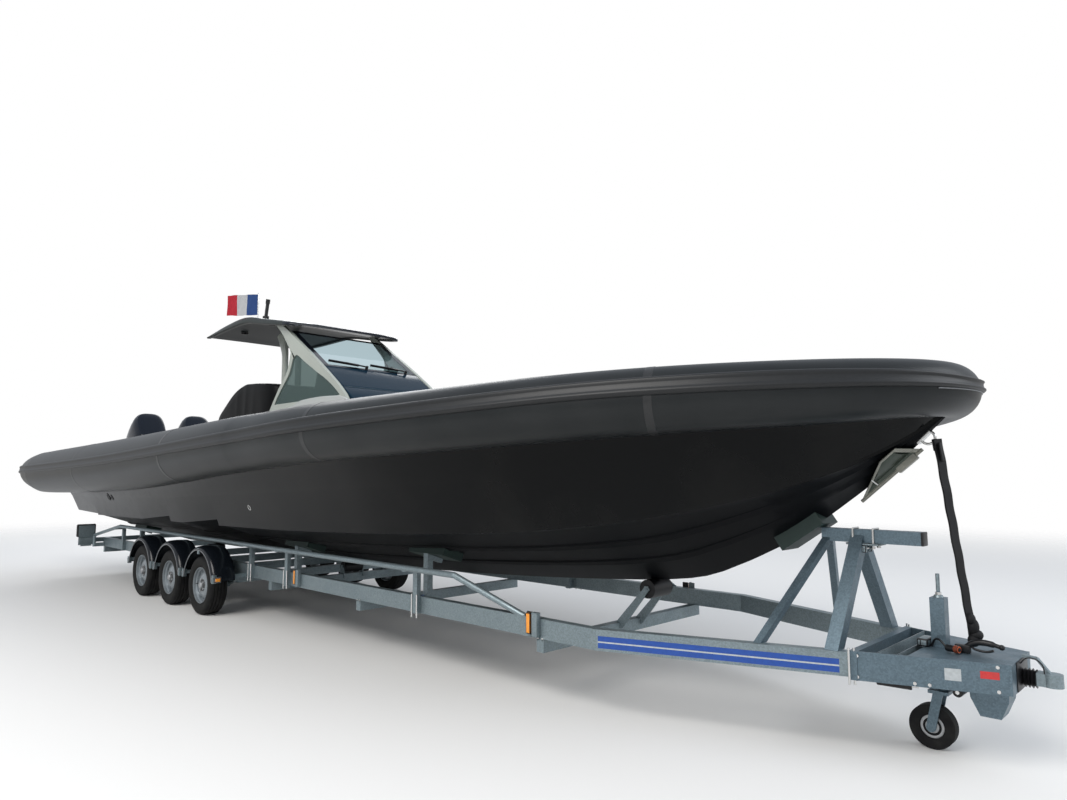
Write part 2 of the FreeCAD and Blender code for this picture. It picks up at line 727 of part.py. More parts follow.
# Outboard engines, drawn upright at the tilt axis and then tilted up.
def engine_parts(side):
    y = side * engine_y
    tilt = V(tilt_x, y, tilt_z)
    steer_x = tilt_x - steer_offset
    swivel = fuse([
        Part.makeCylinder(30, 190, V(tilt_x, y - 95, tilt_z), V(0, 1, 0)),
        Part.makeCylinder(38, 330, V(steer_x, y, tilt_z - 270), V(0, 0, 1)),
        box(steer_x, tilt_x, y - 60, y + 60, tilt_z - 70, tilt_z + 30),
    ])
    swivel = swivel.cut(Part.makeCylinder(24, 400, V(steer_x, y, tilt_z - 300), V(0, 0, 1)))
    swivel = swivel.cut(Part.makeCylinder(16 + shaft_gap, 300, V(tilt_x, y - 150, tilt_z), V(0, 1, 0)))
    top = tilt_z + 80
    leg_low = tilt_z - engine_shaft_length
    pin = Part.makeCylinder(24 - shaft_gap, 350 + 2 * shaft_gap, V(steer_x, y, tilt_z - 290 - shaft_gap),
                            V(0, 0, 1))
    pan = box(steer_x - 460, steer_x - 14, y - 120, y + 120, top - 18, top + 40)
    nose = box(steer_x - 30, steer_x + 52, y - 64, y + 64, top - 18, top + 40)
    foot = box(steer_x - 300, steer_x + 40, y - 55, y + 55, tilt_z - 330, tilt_z - 290 - shaft_gap)
    mid_sections = []
    levels = ((top, 330, 60, 72), (tilt_z - 300, 325, 62, 66), (tilt_z - 522, 295, 100, 34))
    for z, back, front, half in levels:
        x0, x1 = steer_x - back, steer_x - front
        mid_sections.append(wire([V(x0, y - half * 0.5, z), V(x0 + 40, y - half, z), V(x1 - 70, y - half, z),
                                  V(x1, y - half * 0.3, z), V(x1, y + half * 0.3, z), V(x1 - 70, y + half, z),
                                  V(x0 + 40, y + half, z), V(x0, y + half * 0.5, z)]))
    mid = loft(mid_sections)
    lower = box(steer_x - 290, steer_x - 110, y - 22, y + 22, leg_low, tilt_z - 520)
    plate = box(steer_x - 430, steer_x - 40, y - 105, y + 105, tilt_z - 640, tilt_z - 628)
    torpedo = Part.makeCone(12, 52, 190, V(steer_x + 60, y, leg_low + 10), V(-1, 0, 0))
    body = Part.makeCylinder(52, 210, V(steer_x - 130, y, leg_low + 10), V(-1, 0, 0))
    skeg = prism_y([(steer_x - 110, leg_low), (steer_x - 330, leg_low), (steer_x - 300, leg_low - 190),
                    (steer_x - 240, leg_low - 190)], y - 8, y + 8)
    stub = Part.makeCylinder(14, 150, V(steer_x - 330, y, leg_low + 10), V(-1, 0, 0))
    leg = fuse([pin, pan, nose, foot, mid, lower, plate, torpedo, body, skeg, stub])
    # Levels of the cowl: height, rear, front and half breadth, as parts of its sizes
    levels = ((0.0, -0.60, 0.18, 0.36), (0.10, -0.63, 0.22, 0.42), (0.45, -0.685, 0.235, 0.475),
              (0.80, -0.715, 0.195, 0.46), (0.94, -0.68, 0.145, 0.40), (1.0, -0.52, 0.03, 0.25))
    cowl_sections = []
    for z, back, front, half in levels:
        x0 = steer_x - 60 + back * cowl_length
        x1 = steer_x - 60 + front * cowl_length
        zz = top + 40.2 + z * cowl_height
        mid_x, half_x, half_y = (x0 + x1) / 2, (x1 - x0) / 2, half * cowl_width
        corner = [(1.0, 0.40), (0.93, 0.72), (0.74, 0.93), (0.45, 1.0)]
        ring = corner + [(-u, v) for u, v in reversed(corner)]
        ring += [(-u, -v) for u, v in corner] + [(u, -v) for u, v in reversed(corner)]
        cowl_sections.append(wire([V(mid_x + u * half_x, y + v * half_y, zz) for u, v in ring]))
    cowl = loft(cowl_sections)
    hub_x = steer_x - 336
    hub = Part.makeCylinder(48, 120, V(hub_x - 10, y, leg_low + 10), V(-1, 0, 0))
    hub = hub.cut(Part.makeCylinder(14 + shaft_gap, 200, V(hub_x + 40, y, leg_low + 10), V(-1, 0, 0)))
    blades = []
    for turn in (0, 120, 240):
        blade = bar(V(hub_x - 70, y, leg_low + 50), V(hub_x - 70, y, leg_low + 10 + propeller_radius),
                    120, 10, V(1, 0.9, 0))
        blades.append(turned(blade, V(hub_x, y, leg_low + 10), V(1, 0, 0), turn))
    propeller = fuse([hub] + blades)
    parts = {"swivel": swivel, "leg": leg, "cowl": cowl, "propeller": propeller}
    return {name: turned(shape, tilt, V(0, 1, 0), tilt_stored_deg) for name, shape in parts.items()}


def engine_brackets(hull):
    brackets = []
    seat = hull.copy()
    seat.translate(V(-touch_gap, 0, touch_gap))
    for side in (-1, 1):
        y = side * engine_y
        pieces = []
        for face in (-1, 1):
            yc = y + face * 112
            cheek = prism_y([(tilt_x + 112, 1040), (tilt_x + 128, 1462), (tilt_x + 40, 1470),
                             (tilt_x - 40, 1450), (tilt_x - 40, 1385), (tilt_x + 40, 1040)],
                            yc - 14, yc + 14)
            pieces.append(max(cheek.cut(seat).Solids, key=lambda s: s.Volume))
        pin = Part.makeCylinder(16, 260, V(tilt_x, y - 130, tilt_z), V(0, 1, 0))
        brackets.append(fuse(pieces + [pin]))
    return brackets


# Trailer
def wheel_parts(x, side):
    centre = tyre_centre_y
    y_in = centre - tyre_width / 2
    y_out = centre + tyre_width / 2
    profile = [(bead_radius, centre - rim_width / 2 + 12), (bead_radius + 40, y_in + 8),
               (tyre_radius - 45, y_in), (tyre_radius - 8, y_in + 22), (tyre_radius, y_in + 42),
               (tyre_radius, y_out - 42), (tyre_radius - 8, y_out - 22), (tyre_radius - 45, y_out),
               (bead_radius + 40, y_out - 8), (bead_radius, centre + rim_width / 2 - 12)]
    face = Part.Face(wire([V(0, y, r) for r, y in profile]))
    tyre = face.revolve(V(0, 0, 0), V(0, 1, 0), 360)
    half = rim_width / 2
    r = bead_radius - touch_gap
    well = [(r, centre - half), (r, centre + half), (r - rim_wall, centre + half),
            (r - rim_wall, centre - half)]
    barrel = Part.Face(wire([V(0, y, q) for q, y in well])).revolve(V(0, 0, 0), V(0, 1, 0), 360)
    disc_y = centre + half - disc_inset
    disc_profile = [(stub_radius + shaft_gap, disc_y - disc_thick), (stub_radius + shaft_gap, disc_y),
                    (95, disc_y), (120, disc_y - 14), (r - rim_wall, disc_y - 30),
                    (r - rim_wall, disc_y - 30 - disc_thick), (118, disc_y - 14 - disc_thick),
                    (93, disc_y - disc_thick)]
    disc = Part.Face(wire([V(0, y, q) for q, y in disc_profile])).revolve(V(0, 0, 0), V(0, 1, 0), 360)
    rim = fuse([barrel, disc])
    for i in range(rim_holes):
        turn = math.radians(360.0 * i / rim_holes)
        centre_x = math.cos(turn) * rim_hole_circle
        centre_z = math.sin(turn) * rim_hole_circle
        rim = rim.cut(Part.makeCylinder(rim_hole_radius, 90, V(centre_x, disc_y - 70, centre_z), V(0, 1, 0)))
    out = []
    for shape in (tyre, rim):
        shape.translate(V(x, 0, tyre_radius))
        out.append(shape if side > 0 else mirror(shape))
    return out


def axle_xs():
    return [axle_front_x - i * axle_spacing for i in range(3)]


def make_axles():
    axles = []
    disc_y = tyre_centre_y + rim_width / 2 - disc_inset
    for x in axle_xs():
        tube_x = x + arm_length
        tube_top = rail_bottom - touch_gap
        end = rail_outer_y + 12
        tube = box(tube_x - axle_tube / 2, tube_x + axle_tube / 2, -end, end, tube_top - axle_tube, tube_top)
        pieces = [tube]
        for side in (-1, 1):
            a = V(tube_x, side * (end + arm_thick / 2 - 2), tube_top - axle_tube / 2)
            b = V(x, a.y, tyre_radius)
            pieces.append(bar(a, b, arm_thick, 60, V(0, 1, 0)))
            for p in (a, b):
                pieces.append(Part.makeCylinder(38, arm_thick, V(p.x, p.y - arm_thick / 2, p.z), V(0, 1, 0)))
            out = side * (end + arm_thick - 4)
            pieces.append(rod(V(x, out, tyre_radius), V(x, side * (disc_y + 14), tyre_radius), stub_radius))
            drum_out = side * (disc_y - disc_thick - turn_gap - 14)
            pieces.append(rod(V(x, out + side * 20, tyre_radius), V(x, drum_out, tyre_radius), hub_radius))
        axles.append(fuse(pieces))
    return axles


def rail_y(x):
    return rail_outer_y - max(0.0, x - rail_bend_x) * rail_slope


def guard_ring(x, inset):
    # The outside of a guard's domed arch, or its inside for an inset of one wall, as a full disc.
    low = tyre_centre_y - guard_width / 2
    high = tyre_centre_y + guard_width / 2
    crown = guard_radius - inset
    edge = crown - guard_dome
    points = [(low, 0), (low, edge), (low + 26, crown - 4), (low + 60, crown), (high - 60, crown),
              (high - 26, crown - 4), (high, edge), (high, 0)]
    face = Part.Face(wire([V(x, y, tyre_radius + r) for y, r in points]))
    return face.revolve(V(x, 0, tyre_radius), V(0, 1, 0), 360)


def make_rails():
    rails = []
    nose = drawbar_rear_x
    outline = [(rail_tail_x, rail_outer_y), (rail_bend_x, rail_outer_y), (nose, rail_y(nose)),
               (nose, rail_y(nose) - rail_width / math.cos(math.radians(rail_turn_deg))),
               (rail_bend_x - 10, rail_inner_y), (rail_tail_x, rail_inner_y)]
    rail = prism_z(outline, rail_bottom, rail_top)
    stays = []
    near = tyre_centre_y - guard_width / 2
    reach = guard_radius - guard_thick - guard_dome - touch_gap
    low = tyre_radius + 90
    for x in axle_xs():
        under = guard_ring(x, guard_thick + touch_gap)
        beside = Part.makeCylinder(reach, near + 1 - 700, V(x, 700, tyre_radius), V(0, 1, 0))
        arch = under.fuse(beside)
        for side in (-1, 1):
            x0, x1 = sorted((x + side * (reach - 42), x + side * (guard_radius + 5)))
            stay = box(x0, x1, rail_outer_y - 1, tyre_centre_y + guard_width / 2 - 40, low, low + guard_stay)
            stays.append(stay.common(arch))
    return rail, stays


def make_guards():
    guards = []
    for side in (-1, 1):
        for x in axle_xs():
            ring = guard_ring(x, 0).cut(guard_ring(x, guard_thick))
            side_y = tyre_centre_y - guard_width / 2 - 5
            ring = ring.common(box(x - 600, x + 600, side_y, side_y + guard_width + 10, guard_foot_z, 1200))
            guards.append(ring if side > 0 else mirror(ring))
    return guards


def make_cross_members(posts, roller_brackets):
    # The cross members hang under the rails and carry the posts and the roller cheeks.
    top = rail_bottom - touch_gap
    members = []
    extra = {row[0]: pieces for row, pieces in zip(roller_places, roller_brackets)}
    for x in cross_xs:
        member = box(x - cross_width / 2, x + cross_width / 2, -rail_outer_y - 8, rail_outer_y + 8,
                     top - cross_height, top)
        members.append(fuse([member] + extra.get(x, [])))
    return members + posts


def make_drawbar():
    z1 = drawbar_top
    z0 = drawbar_top - drawbar_height
    x0 = drawbar_rear_x + touch_gap
    x1 = drawbar_front_x
    pieces = []
    thick = plate_thick / math.cos(math.radians(rail_turn_deg))
    for side in (-1, 1):
        outline = [(x0, side * (rail_y(x0) + 4)), (x1, side * (rail_y(x1) + 4)),
                   (x1, side * (rail_y(x1) + 4 - thick)), (x0, side * (rail_y(x0) + 4 - thick))]
        pieces.append(prism_z(outline, z0, z1))
    inner = rail_y(x0) - 2
    pieces.append(box(x0, x0 + 40, -inner, inner, z0, z1))
    front = rail_y(x1) + 3
    pieces.append(box(x1 - 10, x1 + 12, -front, front, z0, z1))
    mid_x = jockey_x - 60
    floor = [(mid_x, rail_y(mid_x)), (x1, rail_y(x1)), (x1, -rail_y(x1)), (mid_x, -rail_y(mid_x))]
    pieces.append(prism_z(floor, z0, z0 + plate_thick))
    pieces.append(prism_z(floor, z1 - plate_thick, z1))
    # The housing of the brake linkage hangs under the front.
    pieces.append(prism_y([(x1 - 204, z0 + 2), (x1 - 30, z0 + 2), (x1 - 34, z0 - 66),
                           (x1 - 70, brake_box_low), (x1 - 160, brake_box_low), (x1 - 200, z0 - 66)],
                          -70, 70))
    body = fuse(pieces)
    square = box(jockey_x - jockey_casing_size / 2 - touch_gap, jockey_x + jockey_casing_size / 2 + touch_gap,
                 -jockey_casing_size / 2 - touch_gap, jockey_casing_size / 2 + touch_gap, 300, 700)
    shaft = Part.makeCylinder(shaft_radius + touch_gap, 60, V(x1 - 30, 0, shaft_z), V(1, 0, 0))
    return body.cut(square).cut(shaft)


def make_jockey():
    half = jockey_casing_size / 2
    low = drawbar_top - drawbar_height - 8
    casing = box(jockey_x - half, jockey_x + half, -half, half, low, jockey_casing_top)
    lift_room = Part.makeCylinder(jockey_tube_radius + shaft_gap, jockey_casing_top - low - 20,
                                  V(jockey_x, 0, low), V(0, 0, 1))
    casing = casing.cut(lift_room)
    spindle = rod(V(jockey_x, 0, jockey_casing_top - 5), V(jockey_x, 0, jockey_casing_top + 118), 9)
    casing = fuse([casing, spindle])
    tube_low = jockey_tube_low
    tube = Part.makeCylinder(jockey_tube_radius, jockey_casing_top - 20 - jockey_lift - 5 - tube_low,
                             V(jockey_x, 0, tube_low), V(0, 0, 1))
    crown_top = tube_low - touch_gap
    wheel = V(jockey_x - jockey_trail, 0, jockey_radius)
    crown = box(jockey_x - 62, jockey_x + 34, -46, 46, crown_top - 16, crown_top)
    cheeks = []
    for side in (-1, 1):
        y = side * 41.5
        foot = V(wheel.x, y, wheel.z)
        head = V(jockey_x - 14, y, crown_top - 8)
        cheeks.append(bar(foot, head, 9, 46, V(0, 1, 0)))
        cheeks.append(Part.makeCylinder(23, 9, V(wheel.x, y - 4.5, wheel.z), V(0, 1, 0)))
    pin = Part.makeCylinder(9, 90, V(wheel.x, -45, wheel.z), V(0, 1, 0))
    bolt = Part.makeCylinder(12, 28, V(jockey_x, 0, crown_top - 8), V(0, 0, 1))
    fork = fuse([crown, bolt, pin] + cheeks)
    tube = tube.cut(Part.makeCylinder(12 + shaft_gap, 60, V(jockey_x, 0, tube_low - 1), V(0, 0, 1)))
    width = jockey_width
    tyre = Part.makeCylinder(jockey_radius, width, V(wheel.x, -width / 2, wheel.z), V(0, 1, 0))
    tyre = tyre.cut(Part.makeCylinder(60, width, V(wheel.x, -width / 2, wheel.z), V(0, 1, 0)))
    hub = Part.makeCylinder(60 - touch_gap, width - 14, V(wheel.x, -width / 2 + 7, wheel.z), V(0, 1, 0))
    hub = hub.cut(Part.makeCylinder(9 + shaft_gap, 100, V(wheel.x, -50, wheel.z), V(0, 1, 0)))
    return casing, tube, fork, tyre, hub


def make_coupling():
    x1 = drawbar_front_x + 12
    shaft = rod(V(x1 - 40, 0, shaft_z), V(ball_x - 20, 0, shaft_z), shaft_radius - 2)
    head = fuse([
        box(ball_x - 62, ball_x + 12, -34, 34, shaft_z - 26, shaft_z + 34),
        Part.makeCylinder(coupling_front_x - ball_x, 60, V(ball_x, 0, shaft_z - 26), V(0, 0, 1)),
        shaft,
    ])
    socket = fuse([Part.makeSphere(ball_radius, V(ball_x, 0, shaft_z)),
                   Part.makeCylinder(ball_radius, 40, V(ball_x, 0, shaft_z - 40), V(0, 0, 1))])
    head = head.cut(socket)
    handle = fuse([
        bar(V(ball_x - 10, 0, shaft_z + 30), V(ball_x - 60, 0, shaft_z + 95), 26, 12, V(0, 1, 0)),
        bar(V(ball_x - 60, 0, shaft_z + 95), V(ball_x - 120, 0, shaft_z + 100), 26, 12, V(0, 1, 0)),
    ])
    head = fuse([head, handle])
    start = x1 + touch_gap
    pitch = (ball_x - 62 - touch_gap - start) / bellows_folds
    bore = shaft_radius - 2 + touch_gap
    rows = [(start, bore), (start, bellows_radius - 12)]
    for i in range(bellows_folds):
        rows += [(start + (i + 0.35) * pitch, bellows_radius), (start + (i + 0.65) * pitch, bellows_radius),
                 (start + (i + 1) * pitch, bellows_radius - 12)]
    rows.append((start + bellows_folds * pitch, bore))
    face = Part.Face(wire([V(x, 0, shaft_z + r) for x, r in rows]))
    bellows = face.revolve(V(0, 0, shaft_z), V(1, 0, 0), 360)
    return head, bellows


def make_handbrake():
    pivot = V(5950, -70, drawbar_top + 26)
    lug = box(5915, 5985, -84, -56, drawbar_top + touch_gap, drawbar_top + 40)
    lever = fuse([rod(pivot, V(6010, -70, drawbar_top + 62), 11), rod(V(6010, -70, drawbar_top + 62),
                  V(6120, -70, drawbar_top + 52), 13), Part.makeSphere(13, V(6010, -70, drawbar_top + 62))])
    return fuse([lug, lever])


def make_stand():
    beam = box(stand_rear_x, stand_front_x, -stand_size / 2, stand_size / 2,
               stand_z - stand_size / 2, stand_z + stand_size / 2)
    under = stand_z - stand_size / 2
    pieces = [beam]
    strut_x = stand_strut_x - 110
    foot_y = rail_y(stand_leg_x) - rail_width / 2
    strut_y = rail_y(strut_x) - rail_width / 2
    for side in (-1, 1):
        leg_head = V(stand_leg_x, side * 10, under + 20)
        leg_foot = V(stand_leg_x, side * foot_y, rail_top - 30)
        pieces.append(bar(leg_head, leg_foot, leg_size, leg_size, V(1, 0, 0)))
        strut_head = V(stand_rear_x + 30, side * 8, under + 20)
        strut_foot = V(strut_x, side * strut_y, rail_top - 30)
        pieces.append(bar(strut_head, strut_foot, strut_size, strut_size, V(1, 0, 0)))
    keep = box(4000, 6500, -1200, 1200, rail_top + touch_gap, 2000)
    frame = fuse(pieces).common(keep)
    return frame


def make_stem_pad(hull, stand):
    z = hull_z(stem_pad_x, 0)
    slope = math.degrees(math.atan2(hull_z(stem_pad_x + 60, 0) - hull_z(stem_pad_x - 60, 0), 120))
    half = stem_pad_length / 2
    block = box(stem_pad_x - half, stem_pad_x + half, -105, 105, z - 45, z + 75)
    block = turned(block, V(stem_pad_x, 0, z), V(0, 1, 0), -slope)
    lower = hull.copy()
    lower.translate(V(seat_gap * 0.5, 0, -seat_gap))
    block = block.cut(lower)
    block = block.cut(stand)
    return max(block.Solids, key=lambda s: s.Volume)


def make_hull_pads(hull):
    lower = hull.copy()
    lower.translate(V(0, 0, -seat_gap))
    pads = []
    posts = []
    for x in pad_xs:
        z = hull_z(x, pad_y)
        slope = math.degrees(math.atan2(hull_z(x, pad_y + 50) - hull_z(x, pad_y - 50), 100))
        pad = box(x - pad_length / 2, x + pad_length / 2, pad_y - pad_breadth / 2, pad_y + pad_breadth / 2,
                  z - pad_thick, z + 40)
        pad = turned(pad, V(x, pad_y, z), V(1, 0, 0), slope)
        pad = max(pad.cut(lower).Solids, key=lambda s: s.Volume)
        pads.extend([pad, mirror(pad)])
        post_y = rail_inner_y - touch_gap - post_size / 2
        post = box(x - post_size / 2, x + post_size / 2, post_y - post_size / 2, post_y + post_size / 2,
                   rail_bottom, z + 30)
        arm = bar(V(x, post_y, z - 40), V(x, pad_y - 40, z - pad_thick - 30), post_size, 40, V(1, 0, 0))
        post = fuse([post, arm]).cut(pad).cut(lower)
        post = max(post.Solids, key=lambda s: s.Volume)
        posts.extend([post, mirror(post)])
    return pads, posts


def make_rollers():
    # Each roller turns between two cheeks that stand on a cross member.
    rollers = []
    brackets = []
    deck = rail_bottom - touch_gap
    half = roller_width / 2
    for cross_x, x, radius in roller_places:
        turns = (-0.9, -0.6, -0.3, 0, 0.3, 0.6, 0.9)
        z = min(hull_z(x + d * radius, 0) - radius * math.sqrt(1 - d * d) for d in turns) - seat_gap
        z = min(z, hull_z(x, 0) - seat_gap - radius)
        roller = Part.makeCylinder(radius, roller_width, V(x, -half, z), V(0, 1, 0))
        hole = Part.makeCylinder(roller_pin_radius + shaft_gap, roller_width, V(x, -half, z), V(0, 1, 0))
        rollers.append(roller.cut(hole))
        pieces = [Part.makeCylinder(roller_pin_radius, roller_width + 40, V(x, -half - 20, z), V(0, 1, 0))]
        for side in (-1, 1):
            y0, y1 = sorted((side * (half + 3), side * (half + 13)))
            low = deck - cross_height / 2
            outline = [(cross_x - 45, low), (cross_x + 45, low), (x + 26, z), (x + 12, z + 20),
                       (x - 12, z + 20), (x - 26, z)]
            pieces.append(prism_y(outline, y0, y1))
        brackets.append(pieces)
    return rollers, brackets


def make_guides():
    guides = []
    for side in (-1, 1):
        y = side * guide_y
        radius = guide_tube / 2
        foot_y = side * (rail_outer_y - rail_width / 2)
        path = [V(guide_foot_x, foot_y, rail_top - 10), V(guide_knee_x, y, guide_z),
                V(guide_tail_x, y, guide_z), V(guide_end_x, y, guide_end_z), V(guide_end_x, y, rail_bottom)]
        pieces = [rod(a, b, radius) for a, b in zip(path, path[1:])]
        pieces += [Part.makeSphere(radius, p) for p in path[1:-1]]
        near, far = rail_outer_y + touch_gap, rail_outer_y + 36
        for x in guide_post_xs:
            y0, y1 = sorted((side * near, side * far))
            pieces.append(box(x - 25, x + 25, y0, y1, rail_bottom, guide_z - 6))
            a0, a1 = sorted((side * near, side * (guide_y + 12)))
            top = guide_z - 6 if x > guide_tail_x else guide_z - 34
            pieces.append(box(x - 25, x + 25, a0, a1, top - 20, top))
        y0, y1 = sorted((side * near, side * (guide_y - 5)))
        pieces.append(box(guide_end_x - 20, guide_end_x + 20, y0, y1, rail_bottom, rail_bottom + 50))
        keep = box(-6000, 6000, -1400, 1400, rail_top + touch_gap, 1000)
        keep = keep.fuse([box(-6000, 6000, -1400, -near, 300, 1000), box(-6000, 6000, near, 1400, 300, 1000)])
        guides.append(fuse(pieces).common(keep))
    return guides


def make_light_bar():
    # The board across the tail, with a plate for each lamp.
    x = rail_tail_x - touch_gap
    board = box(x - 40, x, -lamp_outer_y + 30, lamp_outer_y - 30, rail_top - 60, rail_top)
    plates = []
    low, high = lamp_z - lamp_height / 2 - 110, lamp_z + lamp_height / 2 - 20
    for side in (-1, 1):
        y0, y1 = sorted((side * (lamp_inner_y + 20), side * (lamp_outer_y - 20)))
        plates.append(box(x - 40, x - 34, y0, y1, low, high))
    return fuse([board] + plates)


def make_lamps():
    lamps = []
    x = rail_tail_x - 40 - 2 * touch_gap
    low = lamp_z - lamp_height / 2
    for side in (-1, 1):
        y0, y1 = sorted((side * lamp_inner_y, side * lamp_outer_y))
        mid = (y0 + y1) / 2
        pieces = [box(x - 50, x, y0, y1, low, low + lamp_height)]
        for start, end in lamp_lenses:
            a = y0 + start * (y1 - y0)
            b = y0 + end * (y1 - y0)
            pieces.append(box(x - 56, x - 49, a, b, low + 20, low + lamp_height - 20))
        lamps.append(fuse(pieces))
        triangle = Part.Face(wire([V(x, mid - 75, low - 130), V(x, mid + 75, low - 130), V(x, mid, low - 4)]))
        lamps.append(triangle.extrude(V(-9, 0, 0)))
    return lamps


def make_strap():
    return bar(V(5864.8, 0, 1588), V(5984, 0, drawbar_top + 40), 48, 6, V(0, 1, 0))


def build():
    sides, bow = make_collar()
    save("collar_sides", sides)
    save("collar_bow", bow)
    save("rub_strake", make_strake())
    hull = make_hull(sides + [bow])
    save("hull", hull)
    save("console", make_console())
    save("windscreen_fairing", make_fairing())
    save("windows", [make_windscreen()] + make_windows())
    legs = make_rear_legs()
    save("roof_frames", make_side_frames() + legs)
    save("hardtop", make_hardtop())
    save("seat_cover", make_cover())
    save("bow_lounge", make_lounge())
    save("sunpad", make_sunpad())
    save("helm_wheel", make_helm())
    save("anchor", make_anchor(hull))
    save("deck_fittings", [make_bow_eye(hull)] + make_cleats(hull))
    save("wipers", make_wipers())
    save("flag_pole", make_flag_pole())
    save("flag", make_flag())
    mast_foot, mast = make_light_mast()
    save("light_mast_foot", mast_foot)
    save("light_mast", mast)
    save("outboard_brackets", engine_brackets(hull))
    for side, name in ((-1, "starboard"), (1, "port")):
        for part, shape in engine_parts(side).items():
            save("outboard_" + part + "_" + name, shape)
        for number, x in enumerate(axle_xs(), 1):
            tyre, rim = wheel_parts(x, side)
            save("tyre_%s_%d" % (name, number), tyre)
            save("rim_%s_%d" % (name, number), rim)
    save("axles", make_axles())
    rail, stays = make_rails()
    rail = fuse([rail] + stays)
    guards = make_guards()
    rails = []
    for shape in (rail, mirror(rail)):
        rails.append(max(shape.Solids, key=lambda s: s.Volume))
    save("frame_rails", rails)
    save("mudguards", guards)
    save("drawbar", make_drawbar())
    casing, tube, fork, tyre, hub = make_jockey()
    save("jockey_casing", casing)
    save("jockey_tube", tube)
    save("jockey_fork", fork)
    save("jockey_wheel", [tyre, hub])
    head, bellows = make_coupling()
    save("coupling_head", head)
    save("coupling_bellows", bellows)
    save("handbrake_lever", make_handbrake())
    stand = make_stand()
    save("bow_stand", stand)
    pads, posts = make_hull_pads(hull)
    save("support_pads", pads + [make_stem_pad(hull, stand)])
    rollers, brackets = make_rollers()
    save("keel_rollers", rollers)
    save("cross_members", make_cross_members(posts, brackets))
    save("guide_rails", make_guides())
    save("light_bar", make_light_bar())
    save("lamps", make_lamps() + make_markers())
    save("bow_strap", make_strap())


os.makedirs("parts", exist_ok=True)
build()
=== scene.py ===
import math
import random

import bpy
import bmesh
from mathutils import Matrix, Vector


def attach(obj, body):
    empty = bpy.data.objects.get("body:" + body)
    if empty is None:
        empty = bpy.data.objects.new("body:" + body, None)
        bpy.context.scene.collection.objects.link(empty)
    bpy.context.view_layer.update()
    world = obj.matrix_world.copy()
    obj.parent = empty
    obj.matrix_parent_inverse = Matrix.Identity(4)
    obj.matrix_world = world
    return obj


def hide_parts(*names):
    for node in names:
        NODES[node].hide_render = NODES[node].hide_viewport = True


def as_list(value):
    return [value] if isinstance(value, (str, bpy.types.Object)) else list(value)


# Looks of the rigid inflatable boat on its trailer, in metres, in the frame of the part.

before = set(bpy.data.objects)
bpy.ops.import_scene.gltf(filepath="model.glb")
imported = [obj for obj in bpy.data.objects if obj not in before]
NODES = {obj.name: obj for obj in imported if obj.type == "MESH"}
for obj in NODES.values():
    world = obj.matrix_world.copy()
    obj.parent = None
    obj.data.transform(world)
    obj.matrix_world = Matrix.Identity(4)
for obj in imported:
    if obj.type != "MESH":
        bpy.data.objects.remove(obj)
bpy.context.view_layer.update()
SIDES = (("starboard", -1), ("port", 1))


# Materials
def add_node(tree, kind, values=None, links=None, **settings):
    # A shader node with values for its inputs and the sockets that feed others of them.
    node = tree.nodes.new("ShaderNode" + kind)
    for name, value in settings.items():
        setattr(node, name, value)
    for socket, value in (values or {}).items():
        node.inputs[socket].default_value = value
    for socket, source in (links or {}).items():
        tree.links.new(source, node.inputs[socket])
    return node


def set_surface(tree, node):
    tree.links.new(node.outputs["Shader"], tree.nodes["Material Output"].inputs["Surface"])


def new_material(name, color, rough=0.5, metal=0.0, coat=0.0, spec=0.5):
    material = bpy.data.materials.new(name)
    material.use_nodes = True
    shader = material.node_tree.nodes["Principled BSDF"]
    for socket, value in (("Base Color", (*color, 1)), ("Roughness", rough), ("Metallic", metal),
                          ("Coat Weight", coat), ("Coat Roughness", 0.04), ("Specular IOR Level", spec)):
        shader.inputs[socket].default_value = value
    return material, material.node_tree, shader


def add_noise(tree, scale, detail=4.0):
    coords = add_node(tree, "TexCoord")
    return add_node(tree, "TexNoise", {"Scale": scale, "Detail": detail},
                    {"Vector": coords.outputs["Object"]})


def add_bump(tree, shader, texture, strength, distance):
    bump = add_node(tree, "Bump", {"Strength": strength, "Distance": distance},
                    {"Height": texture.outputs["Fac"]})
    tree.links.new(bump.outputs["Normal"], shader.inputs["Normal"])


def vary(tree, shader, texture, low, high, socket, output="Fac", start=0.3, end=0.7):
    ramp = add_node(tree, "ValToRGB", None, {"Fac": texture.outputs[output]})
    for element, place, color in zip(ramp.color_ramp.elements, (start, end), (low, high)):
        element.position = place
        element.color = (*color, 1)
    tree.links.new(ramp.outputs["Color"], shader.inputs[socket])


def grey(value):
    return (value, value, value)


def scaled(color, factor):
    return tuple(min(1.0, c * factor) for c in color)


def hull_material():
    material, tree, shader = new_material("hull_black_gelcoat", (0.003, 0.0035, 0.004), 0.13, spec=0.12)
    dust = add_noise(tree, 1.7, 6.0)
    vary(tree, shader, dust, (0.0022, 0.0026, 0.003), (0.009, 0.009, 0.0085), "Base Color",
         start=0.45, end=0.8)
    fine = add_noise(tree, 9.0, 5.0)
    vary(tree, shader, fine, grey(0.10), grey(0.24), "Roughness", start=0.35, end=0.75)
    return material


def grained(name, color, rough, spec, patches, low, high, grain, start=0.3, end=0.7):
    # Soft patches of colour (scale, detail) under a fine grain (scale, strength, depth).
    material, tree, shader = new_material(name, color, rough, spec=spec)
    vary(tree, shader, add_noise(tree, *patches), low, high, "Base Color", start=start, end=end)
    scale, strength, depth = grain
    add_bump(tree, shader, add_noise(tree, scale, 2.0), strength, depth)
    return material


def cloth_material(name, low, high, rough, spec=0.3):
    return grained(name, low, rough, spec, (5.0, 5.0), low, high, (500.0, 0.3, 0.0006))


